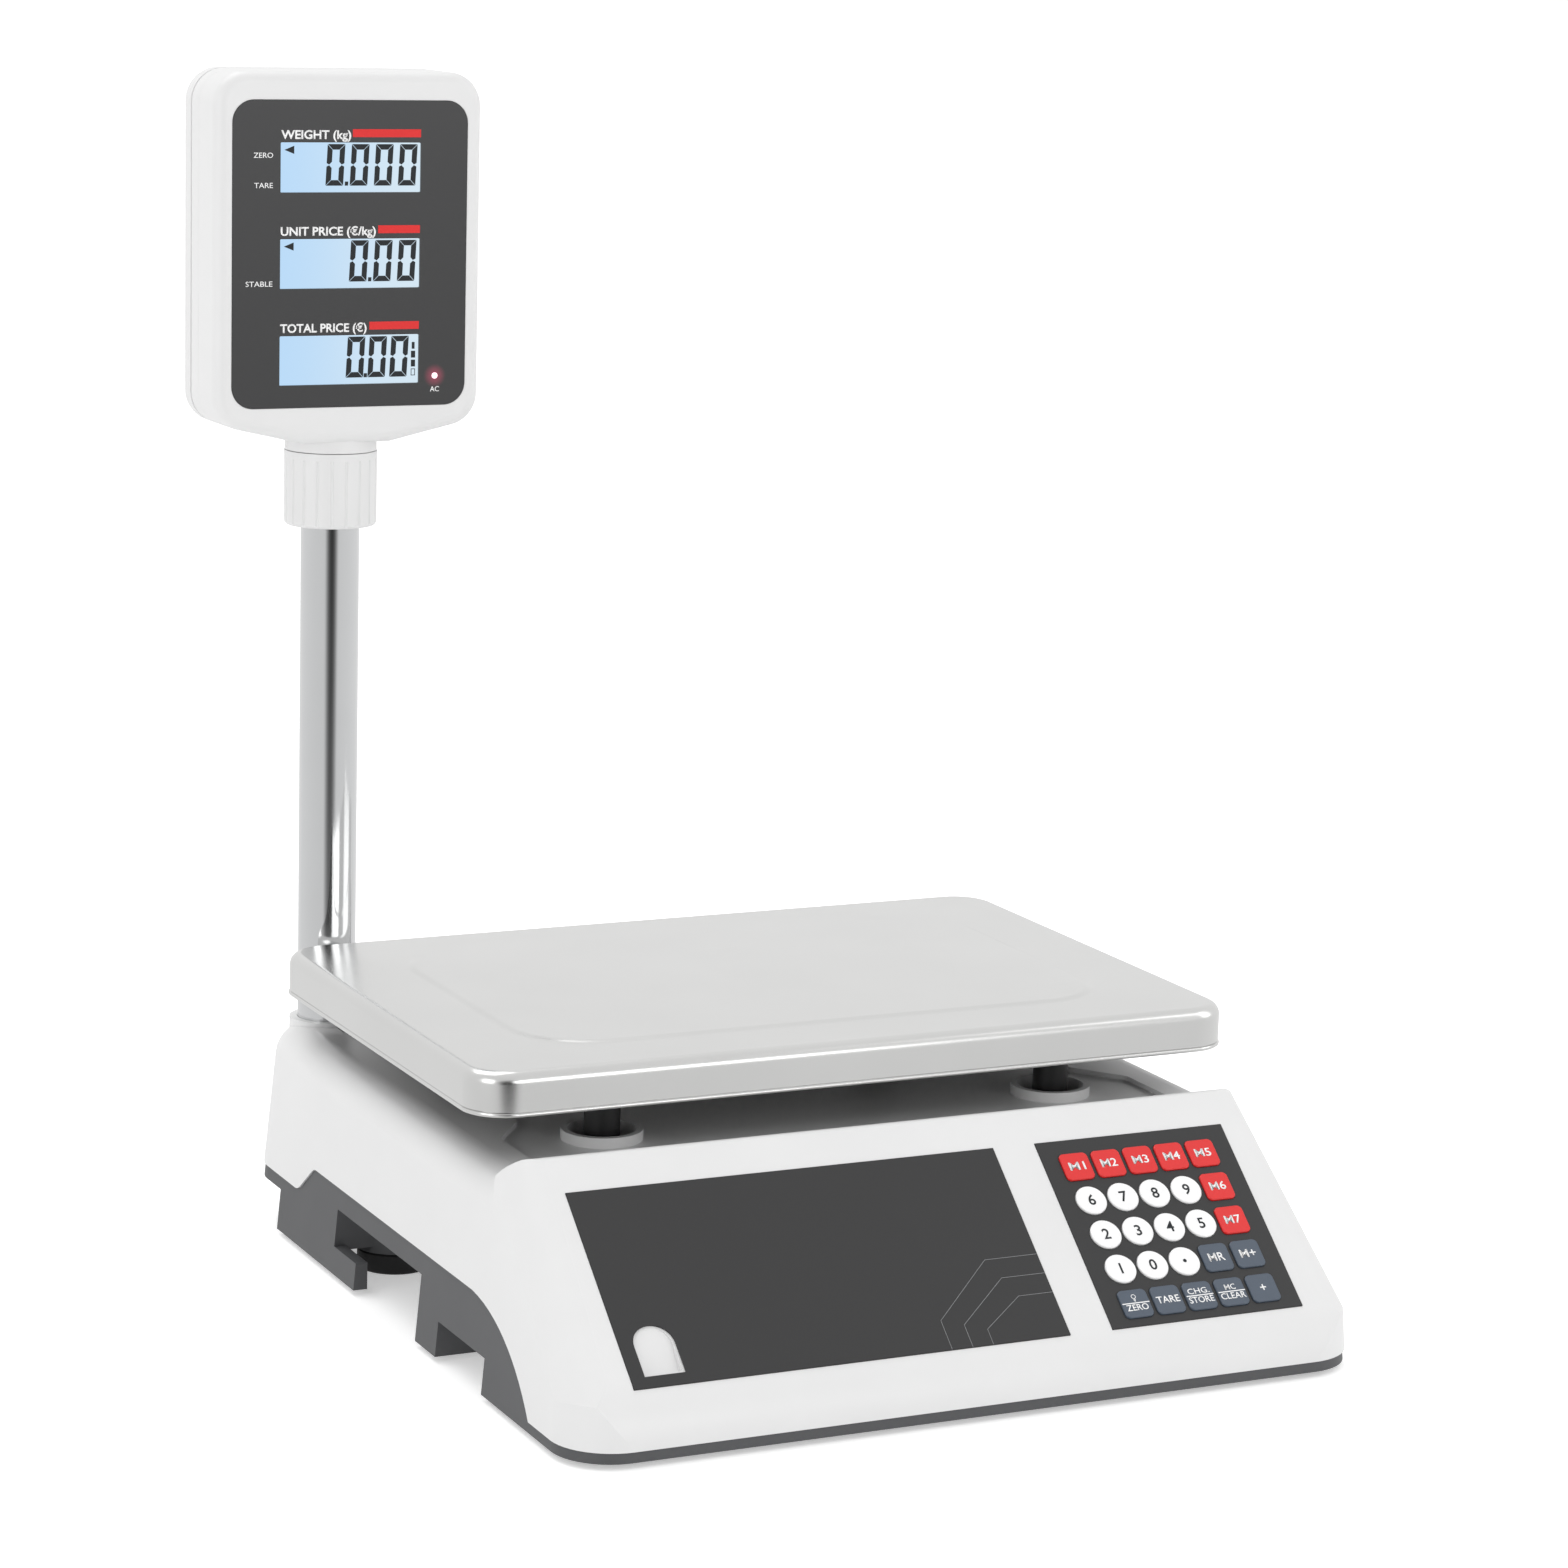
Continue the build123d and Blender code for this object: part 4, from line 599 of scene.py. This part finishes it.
# ---------------------------------------------------------------- operators
class PRICESCALE_OT_finishes(bpy.types.Operator):
    """Gives every CAD node the finish of its real material"""

    bl_idname = "pricescale.finishes"
    bl_label = "Finish the Frame"

    def execute(self, context):
        c = colours()
        lamps = [lamp_place(side) for side in DISPLAY_SIDES]
        head_low, head_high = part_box("lcd_modules")
        middle, half = (head_low + head_high) / 2, (head_high - head_low) / 2
        white = moulded_abs("moulded_white_abs", c.cover, 0.36)
        black = moulded_abs("moulded_black_abs", linear("#1C1C1D"), 0.45, spread=0.06)
        red_key = moulded_key("red_key_cap", c.red)
        white_key = moulded_key("white_key_cap", c.white)
        grey_key = moulded_key("grey_key_cap", c.grey)
        finishes = {
            white: ["upper_cover", "head_front_shell", "head_rear_shell", "pole_collar"],
            moulded_abs("moulded_grey_abs", c.housing, 0.5, 1.0, 0.02, 0.03): [
                "lower_housing", "battery_door"],
            printed_film("printed_film", c.panel): ["front_overlay", "keypad_overlay"],
            display_panel("tinted_acrylic", c.face, lamps): ["head_panels"],
            backlit_display("backlit_display", c.glass, middle, half.x, half.y): ["lcd_modules"],
            rolled_stainless("rolled_stainless", c.steel): ["pan"],
            chrome_plate("chrome_plate"): ["pole"],
            black: ["posts", "power_inlet", "switch_frame", "switch_rocker", "pole_socket"],
            moulded_abs("battery_case_abs", linear("#2A2B2D"), 0.5, spread=0.05): ["battery"],
            moulded_abs("cable_pvc", linear("#232324"), 0.48, spread=0.05): ["display_cable"],
            foot_rubber("foot_rubber"): [n for n in frame["nodes"] if n.startswith("foot_pad_")],
            zinc_steel("zinc_steel"): ["case_screws", "load_cell_bolts", "head_screws"]
            + [n for n in frame["nodes"] if n.startswith("foot_screw_")],
            milled_aluminium("milled_aluminium"): ["load_cell", "spider"],
            solder_mask("solder_mask"): ["keypad_board", "main_board", "head_board"],
            red_key: [f"key_{name}" for name in RED_KEYS],
            white_key: [f"key_{name}" for name in WHITE_KEYS],
            grey_key: [f"key_{name}" for name in GREY_KEYS],
        }
        finished = set()
        for material, nodes in finishes.items():
            for node in nodes:
                mesh = frame["nodes"][node].data
                mesh.materials.clear()
                mesh.materials.append(material)
                finished.add(node)
        bare = set(frame["nodes"]) - finished
        if bare:
            raise RuntimeError(f"no finish is named for {sorted(bare)}")
        printing_ink("white_ink", c.white)
        printing_ink("dark_ink", c.ink)
        printing_ink("red_ink", c.red)
        printing_ink("grey_ink", linear("#8C8D8F"))
        lamp_lens("lamp_lens")
        return {"FINISHED"}


class PRICESCALE_OT_pan(bpy.types.Operator):
    """Presses the pan: hemmed skirt, rolled edge, raised field and the cups for the posts"""

    bl_idname = "pricescale.pan"
    bl_label = "Pressed Pan"

    def execute(self, context):
        s = sizes()
        low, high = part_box("pan")
        middle = (low + high) / 2
        width, depth = high.x - low.x, high.y - low.y
        sheet_top = outer_sheet_level()
        rings = []
        bm = bmesh.new()

        def ring(inset, z):
            corner = max(s.pan_corner - inset, 1 * MM)
            rings.append(rounded_ring(bm, width - 2 * inset, depth - 2 * inset, corner, z, middle))

        # the bead: from inside the skirt's foot, round and out, and back to the skirt
        for step in range(BEAD_RINGS):
            angle = math.radians(BEAD_FROM + step * BEAD_TURN)
            ring(s.hem - s.hem * math.sin(angle), low.z + s.hem - s.hem * math.cos(angle))
        ring(s.pan_skirt_in, low.z + BEAD_TOP * s.hem)
        for step in range(ROLL_STEPS + 1):
            angle = math.radians(step * 90 / ROLL_STEPS)
            ring(s.pan_skirt_in + s.pan_roll * (1 - math.cos(angle)),
                 sheet_top - s.pan_roll * (1 - math.sin(angle)))
        field_w, field_d = width - 2 * s.field_margin_x, depth - 2 * s.field_margin_y
        for step in range(FIELD_STEPS + 1):
            share = step / FIELD_STEPS
            rise = (high.z - sheet_top) * share * share * (3 - 2 * share)
            inset = s.field_step * share
            rings.append(rounded_ring(bm, field_w - 2 * inset, field_d - 2 * inset,
                                      s.field_corner - inset, sheet_top + rise, middle))
        for outer, inner in zip(rings, rings[1:]):
            bmesh.ops.bridge_loops(bm, edges=outer + inner)
        bmesh.ops.edgeloop_fill(bm, edges=rings[-1])
        bmesh.ops.recalc_face_normals(bm, faces=bm.faces[:])
        if max(bm.faces, key=lambda f: f.calc_center_median().z).normal.z < 0:
            bmesh.ops.reverse_faces(bm, faces=bm.faces[:])
        sheet = keep("pan_sheet", bm, find_material("rolled_stainless"), "pan", smooth=40)
        wall = sheet.modifiers.new("sheet", "SOLIDIFY")
        wall.thickness = s.pan_sheet
        wall.offset = -1
        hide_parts("pan")
        self.make_cups(sheet_top - s.pan_sheet, s)
        return {"FINISHED"}

    def make_cups(self, under, s):
        """Four short tubes below the sheet, each a spun ring round its post."""
        tops = outer_points("posts", UP)
        middle_y = sum(p.y for p in tops) / len(tops)
        bm = bmesh.new()
        for sx in (-1, 1):
            for sy in (-1, 1):
                rim = [p for p in tops if p.x * sx > 0 and (p.y - middle_y) * sy > 0]
                across, back = [p.x for p in rim], [p.y for p in rim]
                centre = Vector(((max(across) + min(across)) / 2, (max(back) + min(back)) / 2, 0))
                inner = (max(across) - min(across)) / 2 + POST_EDGE + CUP_GAP
                section = [
                    bm.verts.new((centre.x + r, centre.y, z)) for r, z in (
                        (inner, under), (inner, under - s.cup_drop),
                        (inner + s.cup_wall, under - s.cup_drop), (inner + s.cup_wall, under))
                ]
                edges = [bm.edges.new((a, b)) for a, b in zip(section, section[1:] + section[:1])]
                bmesh.ops.spin(bm, geom=section + edges, cent=centre, axis=UP, angle=2 * math.pi,
                               steps=48, use_merge=True)
        bmesh.ops.remove_doubles(bm, verts=bm.verts[:], dist=1e-6)
        bmesh.ops.recalc_face_normals(bm, faces=bm.faces[:])
        keep("pan_cups", bm, find_material("rolled_stainless"), "pan", smooth=35)


def outer_sheet_level():
    """Height of the pan's flat rim, which lies below its raised field."""
    low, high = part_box("pan")
    rim = [v.co.z for v in frame["nodes"]["pan"].data.vertices
           if v.co.y < low.y + 0.5 * sizes().field_margin_y]
    return max(rim)


class PRICESCALE_OT_key_legends(bpy.types.Operator):
    """Prints the keys: digits on the round ones, short words on the square ones"""

    bl_idname = "pricescale.key_legends"
    bl_label = "Key Legends"

    def execute(self, context):
        out = slope_out()
        for name in RED_KEYS + GREY_KEYS + WHITE_KEYS:
            top = outer_face(f"key_{name}", out, RIGHT)
            bm = bmesh.new()
            if name in WHITE_KEYS:
                self.print_digit(bm, name)
            elif name in KEY_PAIRS:
                self.print_pair(bm, top, *KEY_PAIRS[name])
            else:
                self.print_word(bm, top, KEY_WORDS[name])
            raise_print(bm, top.lifted())
            ink = "dark_ink" if name in WHITE_KEYS else "white_ink"
            keep(f"legend_{name}", bm, find_material(ink), f"key_{name}")
        return {"FINISHED"}

    def print_digit(self, bm, name):
        tall = sizes().key_digit
        if name == "point":
            bmesh.ops.create_circle(bm, cap_ends=True, segments=20, radius=POINT_R * tall)
        else:
            add_words(bm, name, 0, -tall / 2, tall, bold=0.012)

    def print_word(self, bm, top, words):
        tall = sizes().key_word * (LONG_WORD if len(words) > 3 else 1)
        share = WORD_SHARES[len(words)]
        wide = share * top.width if share else None
        add_words(bm, words, 0, -tall / 2, tall, wide, bold=0.012)

    def print_pair(self, bm, top, upper, lower):
        """A line across the key with one function above it and one below."""
        tall = PAIR_HEIGHT * sizes().key_word
        gap = PAIR_GAP * tall
        add_bar(bm, -top.width / 2, -0.07 * tall, top.width / 2, 0.09 * tall)
        add_words(bm, lower, 0, -gap - tall, tall, LOWER_WORDS[lower] * top.width, bold=0.01)
        if upper:
            wide = (LETTER_SHARE * len(upper)) * top.width
            add_words(bm, upper, 0, gap + 0.1 * tall, 0.9 * tall, wide, bold=0.008)
        else:
            self.print_bulb(bm, gap, BULB_HEIGHT * tall)

    def print_bulb(self, bm, foot, tall):
        """A bulb outline: a ring for the glass and three bars for its cap."""
        radius, thin = BULB_R * tall, BULB_LINE * tall
        y = foot + tall - radius
        inner = bmesh.ops.create_circle(bm, segments=28, radius=radius - thin)["verts"]
        outer = bmesh.ops.create_circle(bm, segments=28, radius=radius)["verts"]
        edges = list({e for v in inner + outer for e in v.link_edges})
        bmesh.ops.bridge_loops(bm, edges=edges)
        bmesh.ops.translate(bm, verts=inner + outer, vec=(0, y, 0))
        for share, half in BULB_CAP:
            level = foot + share * tall
            add_bar(bm, -half * tall, level - thin / 2, half * tall, level + thin / 2)


class PRICESCALE_OT_front_lines(bpy.types.Operator):
    """Draws plain nested lines in the lower corner of the large front overlay"""

    bl_idname = "pricescale.front_lines"
    bl_label = "Front Overlay Lines"

    def execute(self, context):
        face = outer_face("front_overlay", slope_out(), RIGHT)
        bm = bmesh.new()
        right, foot = face.width / 2, -face.height / 2
        for step in range(LINE_COUNT):
            reach = (LINE_REACH - LINE_STEP * step) * MM
            rise = (LINE_RISE - LINE_STEP * step) * MM
            route = [
                Vector((right - reach, foot + LINE_W)), Vector((right - reach, foot + LINE_BEND * rise)),
                Vector((right - LINE_KNEE * reach, foot + rise)), Vector((right - LINE_W, foot + rise)),
            ]
            for start, end in zip(route, route[1:]):
                way = (end - start).normalized()
                across = Vector((-way.y, way.x)) * LINE_W / 2
                a, b = start - way * LINE_W / 2, end + way * LINE_W / 2
                add_shape(bm, [a - across, b - across, b + across, a + across])
        raise_print(bm, face.lifted(), LINE_FILM)
        keep("front_lines", bm, find_material("grey_ink"), "root")
        return {"FINISHED"}


def lamp_place(side):
    """Where the mains lamp sits on one display face."""
    _, out, right = side
    face = outer_face("head_panels", out, right)
    return face.matrix @ Vector((face.width / 2 - LAMP_FROM_RIGHT, -face.height / 2 + LAMP_UP, 0))


class PRICESCALE_OT_display_print(bpy.types.Operator):
    """Prints the display faces: titles, small words and red bars"""

    bl_idname = "pricescale.display_print"
    bl_label = "Display Printing"

    def execute(self, context):
        s = sizes()
        for side, out, right in DISPLAY_SIDES:
            face = outer_face("head_panels", out, right)
            into = face.matrix.inverted()
            words, bars = bmesh.new(), bmesh.new()
            windows = window_faces(out, right)
            for window, (title, title_w, bar_w) in zip(windows, TITLES):
                at = into @ window.matrix.translation
                left, top = at.x - window.width / 2, at.y + window.height / 2
                add_words(words, title, left, top + TITLE_GAP, s.title_height, title_w * MM, "LEFT", 0.026)
                end = at.x + window.width / 2
                add_bar(bars, end - bar_w * MM, top + BAR_GAP, end, top + BAR_GAP + s.bar_height)
            for index, word, wide, drop in SIDE_WORDS:
                at = into @ windows[index].matrix.translation
                x = at.x - windows[index].width / 2 - SIDE_WORD_GAP
                y = at.y + windows[index].height / 2 - drop * MM - s.label_height / 2
                add_words(words, word, x, y, s.label_height, wide * MM, "RIGHT", 0.0)
            add_words(words, "AC", face.width / 2 - LAMP_FROM_RIGHT, -face.height / 2 + LAMP_WORD_UP,
                      s.label_height, LAMP_WORD_W, "CENTER", 0.01)
            raise_print(words, face.lifted())
            raise_print(bars, face.lifted())
            keep(f"display_words_{side}", words, find_material("white_ink"), "head")
            keep(f"display_bars_{side}", bars, find_material("red_ink"), "head")
        return {"FINISHED"}


class PRICESCALE_OT_display_digits(bpy.types.Operator):
    """Lays the dark digits and marks on the backlit windows"""

    bl_idname = "pricescale.display_digits"
    bl_label = "Display Digits"

    def execute(self, context):
        words = context.scene.price_scale_words
        shown = [words.weight, words.unit_price, words.total]
        for side, out, right in DISPLAY_SIDES:
            for number, window in enumerate(window_faces(out, right)):
                bm = bmesh.new()
                pitch = context.scene.price_scale_sizes.digit_pitch * NUMBER_PITCHES[number]
                self.lay_number(bm, window, shown[number], NUMBER_ENDS[number], pitch)
                if number < 2:
                    self.lay_pointer(bm, window)
                else:
                    self.lay_battery(bm, window)
                raise_print(bm, window.lifted(), DIGIT_FILM)
                name = f"display_digits_{side}_{number + 1}"
                keep(name, bm, find_material("dark_ink"), "head")
        return {"FINISHED"}

    def lay_number(self, bm, window, text, end, pitch):
        """The digits, from the last one leftwards, leaning a little."""
        s = sizes()
        foot = -window.height / 2 + DIGIT_FOOT
        x = window.width / 2 - end - s.digit_width - DIGIT_LEAN * s.digit_height / 2
        old = set(bm.verts)
        for mark in reversed(text):
            if mark == ".":
                left = x + pitch - (pitch - s.digit_width) / 2 - POINT_W / 2
                add_bar(bm, left, foot, left + POINT_W, foot + POINT_TALL * POINT_W)
            else:
                for bar in DIGIT_BARS[mark]:
                    add_shape(bm, [(x + px, foot + py) for px, py in self.bar_outline(bar)])
                x -= pitch
        for vert in bm.verts:
            if vert not in old:
                vert.co.x += DIGIT_LEAN * (vert.co.y - foot)

    def bar_outline(self, bar):
        """One bar of a digit, mitred at its ends, from the digit's lower left corner."""
        s = sizes()
        w, h, t, g = s.digit_width, s.digit_height, s.digit_bar, s.digit_gap / 2
        m = h / 2
        outlines = {
            "a": [(g, h), (t + g, h - t), (w - t - g, h - t), (w - g, h)],
            "d": [(g, 0), (w - g, 0), (w - t - g, t), (t + g, t)],
            "f": [(0, h - g), (0, m + g + 0.25 * t), (t / 2, m + g), (t, m + g + 0.5 * t), (t, h - t - g)],
            "e": [(0, g), (t, t + g), (t, m - g - 0.5 * t), (t / 2, m - g), (0, m - g - 0.25 * t)],
            "g": [(t / 2 + g, m), (t + g, m - t / 2), (w - t - g, m - t / 2), (w - t / 2 - g, m),
                  (w - t - g, m + t / 2), (t + g, m + t / 2)],
        }
        if bar in outlines:
            return outlines[bar]
        return [(w - px, py) for px, py in reversed(outlines[{"b": "f", "c": "e"}[bar]])]

    def lay_pointer(self, bm, window):
        """The triangle that points at the small words."""
        x, y = -window.width / 2 + POINTER_IN, window.height / 2 - POINTER_DROP
        add_shape(bm, [(x, y), (x + POINTER_W, y - POINTER_H / 2), (x + POINTER_W, y + POINTER_H / 2)])

    def lay_battery(self, bm, window):
        """Four charge blocks, the lowest an open box."""
        thin = CHARGE_LINE
        right = window.width / 2 - CHARGE_IN
        left = right - CHARGE_W
        foot = -window.height / 2 + CHARGE_FOOT
        top = foot + CHARGE_H
        for step in range(1, CHARGE_BLOCKS):
            y = foot + step * CHARGE_PITCH
            trim = thin if step == CHARGE_BLOCKS - 1 else 0
            add_bar(bm, left + trim, y, right - trim, y + CHARGE_H)
        add_bar(bm, left, foot, right, foot + thin)
        add_bar(bm, left, top - thin, right, top)
        add_bar(bm, left, foot + thin, left + thin, top - thin)
        add_bar(bm, right - thin, foot + thin, right, top - thin)


class PRICESCALE_OT_lamps(bpy.types.Operator):
    """Sets the domed mains lamp into each display face"""

    bl_idname = "pricescale.lamps"
    bl_label = "Mains Lamps"

    def execute(self, context):
        for side in DISPLAY_SIDES:
            name, out, right = side
            place = outer_face("head_panels", out, right).matrix.copy()
            place.translation = lamp_place(side)
            bm = bmesh.new()
            bmesh.ops.create_uvsphere(bm, u_segments=28, v_segments=14, radius=LAMP_R)
            bmesh.ops.bisect_plane(bm, geom=bm.verts[:] + bm.edges[:] + bm.faces[:], plane_co=(0, 0, 0),
                                   plane_no=(0, 0, 1), clear_inner=True)
            bmesh.ops.holes_fill(bm, edges=bm.edges[:], sides=0)
            bmesh.ops.scale(bm, vec=(1, 1, LAMP_DOME), verts=bm.verts[:])
            bmesh.ops.recalc_face_normals(bm, faces=bm.faces[:])
            bmesh.ops.transform(bm, matrix=place, verts=bm.verts[:])
            keep(f"mains_lamp_{name}", bm, find_material("lamp_lens"), "head", smooth=50)
        return {"FINISHED"}


class PRICESCALE_OT_switch_marks(bpy.types.Operator):
    """Prints the on and off marks on the mains rocker"""

    bl_idname = "pricescale.switch_marks"
    bl_label = "Switch Marks"

    def execute(self, context):
        rocker = frame["nodes"]["switch_rocker"].data
        low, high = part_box("switch_rocker")
        middle, half = (low + high) / 2, 0.5 * (high.z - low.z)
        out = Vector((math.cos(SIDE_LEAN), 0, math.sin(SIDE_LEAN)))
        up = Vector((-math.sin(SIDE_LEAN), 0, math.cos(SIDE_LEAN)))
        bm = bmesh.new()
        for sign, mark in ((1, "line"), (-1, "ring")):
            near = [v.co for v in rocker.vertices
                    if MARK_NEAR < sign * (v.co - middle).dot(up) / half < MARK_FAR
                    and (v.co - middle).dot(out) > 0]
            if len(near) < 3:
                raise RuntimeError(f"the rocker's end for the {mark} was not found")
            one = bmesh.new()
            if mark == "line":
                add_bar(one, -MARK_LINE_W / 2, -MARK_LINE_H / 2, MARK_LINE_W / 2, MARK_LINE_H / 2)
            else:
                rims = [bmesh.ops.create_circle(one, segments=24, radius=r)["verts"] for r in MARK_RING]
                bmesh.ops.bridge_loops(one, edges=list({e for v in rims[0] + rims[1] for e in v.link_edges}))
            place = Matrix((BACK, up, out)).transposed().to_4x4()
            place.translation = sum(near, Vector()) / len(near) + out * MARK_LIFT
            raise_print(one, place, MARK_FILM)
            mesh = finish_mesh("mark", one)
            bm.from_mesh(mesh)
            bpy.data.meshes.remove(mesh)
        keep("rocker_marks", bm, find_material("white_ink"), "power_switch")
        return {"FINISHED"}


def room_way(heading):
    """A direction in the room, just above level."""
    turn = math.radians(heading)
    return Vector((math.sin(turn), math.cos(turn), 0.1)).normalized()


class PRICESCALE_OT_stage(bpy.types.Operator):
    """Lays the pale floor, hangs the soft lights and sets the camera"""

    bl_idname = "pricescale.stage"
    bl_label = "Stage"

    def execute(self, context):
        self.lay_floor()
        self.hang_lights()
        self.set_camera(context)
        return {"FINISHED"}

    def lay_floor(self):
        """A round white table top that reaches well past the picture."""
        bm = bmesh.new()
        bmesh.ops.create_circle(bm, cap_ends=True, segments=96, radius=FLOOR_REACH)
        floor = add_object("floor", finish_mesh("floor", bm, backdrop_paper("backdrop_paper")))
        floor.visible_glossy = False

    def hang_lights(self):
        world = bpy.data.worlds.new("studio")
        bpy.context.scene.world = world
        world.use_nodes = True
        self.shade_room(world.node_tree)
        for name, place, size_x, size_y, watts in LIGHTS:
            lamp = bpy.data.lights.new(name, "AREA")
            lamp.shape = "RECTANGLE"
            lamp.size, lamp.size_y = size_x, size_y
            lamp.energy = watts
            box = add_object(name, lamp)
            aim = (LIGHT_AIM - Vector(place)).to_track_quat("-Z", "Y")
            box.matrix_world = Matrix.Translation(place) @ aim.to_matrix().to_4x4()

    def shade_room(self, tree):
        """The room: bright behind the scale, a dark card by the camera, and the backdrop plain white."""
        way = add_node(tree, "ShaderNodeTexCoord").outputs["Generated"]
        behind = add_node(tree, "ShaderNodeVectorMath", {0: way, 1: room_way(CAMERA_HEADING)},
                          operation="DOT_PRODUCT")
        wash = add_node(tree, "ShaderNodeMapRange", {
            "Value": behind.outputs["Value"], "From Min": -1.0, "From Max": 0.9,
            "To Min": ROOM_DIM, "To Max": ROOM_BRIGHT})
        card = add_node(tree, "ShaderNodeVectorMath", {0: way, 1: room_way(CARD_HEADING)},
                        operation="DOT_PRODUCT")
        shadow = add_node(tree, "ShaderNodeMapRange", {
            "Value": card.outputs["Value"], "From Min": math.cos(math.radians(CARD_REACH + CARD_BLUR)),
            "From Max": math.cos(math.radians(CARD_REACH)), "To Min": 1.0, "To Max": CARD_LEVEL},
            interpolation_type="SMOOTHSTEP")
        level = add_node(tree, "ShaderNodeMath", {0: wash.outputs["Result"], 1: shadow.outputs["Result"]},
                         operation="MULTIPLY")
        seen = add_node(tree, "ShaderNodeLightPath").outputs["Is Camera Ray"]
        strength = add_node(tree, "ShaderNodeMath", {0: level.outputs["Value"], 1: seen}, operation="MAXIMUM")
        sky = tree.nodes["Background"]
        sky.inputs["Color"].default_value = (1, 1, 1, 1)
        tree.links.new(strength.outputs["Value"], sky.inputs["Strength"])

    def set_camera(self, context):
        lens = bpy.data.cameras.new("camera")
        lens.lens = CAMERA_LENS
        lens.sensor_width = 36.0
        lens.clip_end = 60.0
        camera = add_object("camera", lens)
        camera.matrix_world = (
            Matrix.Translation(CAMERA_PLACE)
            @ Matrix.Rotation(math.radians(-CAMERA_HEADING), 4, "Z")
            @ Matrix.Rotation(math.radians(90 - CAMERA_DOWN), 4, "X")
            @ Matrix.Rotation(math.radians(CAMERA_ROLL), 4, "Z"))
        context.scene.camera = camera
        context.scene.view_settings.view_transform = "Standard"


class PRICESCALE_PT_panel(bpy.types.Panel):
    """Price scale pieces"""

    bl_idname = "PRICESCALE_PT_panel"
    bl_label = "Price Scale"
    bl_space_type = "VIEW_3D"
    bl_region_type = "UI"
    bl_category = "Price Scale"

    def draw(self, context):
        layout = self.layout
        for operator in OPERATORS:
            layout.operator(operator.bl_idname)
        for group in (context.scene.price_scale_words, context.scene.price_scale_sizes,
                      context.scene.price_scale_colours):
            box = layout.box()
            for name in group.__annotations__:
                box.prop(group, name)


OPERATORS = [
    PRICESCALE_OT_finishes, PRICESCALE_OT_pan, PRICESCALE_OT_key_legends, PRICESCALE_OT_front_lines,
    PRICESCALE_OT_display_print, PRICESCALE_OT_display_digits, PRICESCALE_OT_lamps,
    PRICESCALE_OT_switch_marks, PRICESCALE_OT_stage,
]
CLASSES = [PriceScaleSizes, PriceScaleWords, PriceScaleColours, *OPERATORS, PRICESCALE_PT_panel]


def register():
    for item in CLASSES:
        bpy.utils.register_class(item)
    bpy.types.Scene.price_scale_sizes = PointerProperty(type=PriceScaleSizes)
    bpy.types.Scene.price_scale_words = PointerProperty(type=PriceScaleWords)
    bpy.types.Scene.price_scale_colours = PointerProperty(type=PriceScaleColours)


def unregister():
    del bpy.types.Scene.price_scale_colours
    del bpy.types.Scene.price_scale_words
    del bpy.types.Scene.price_scale_sizes
    for item in reversed(CLASSES):
        bpy.utils.unregister_class(item)


def main():
    register()
    bpy.ops.pricescale.finishes()
    bpy.ops.pricescale.pan()
    bpy.ops.pricescale.key_legends()
    bpy.ops.pricescale.front_lines()
    bpy.ops.pricescale.display_print()
    bpy.ops.pricescale.display_digits()
    bpy.ops.pricescale.lamps()
    bpy.ops.pricescale.switch_marks()
    bpy.ops.pricescale.stage()


if __name__ == "__main__":
    main()
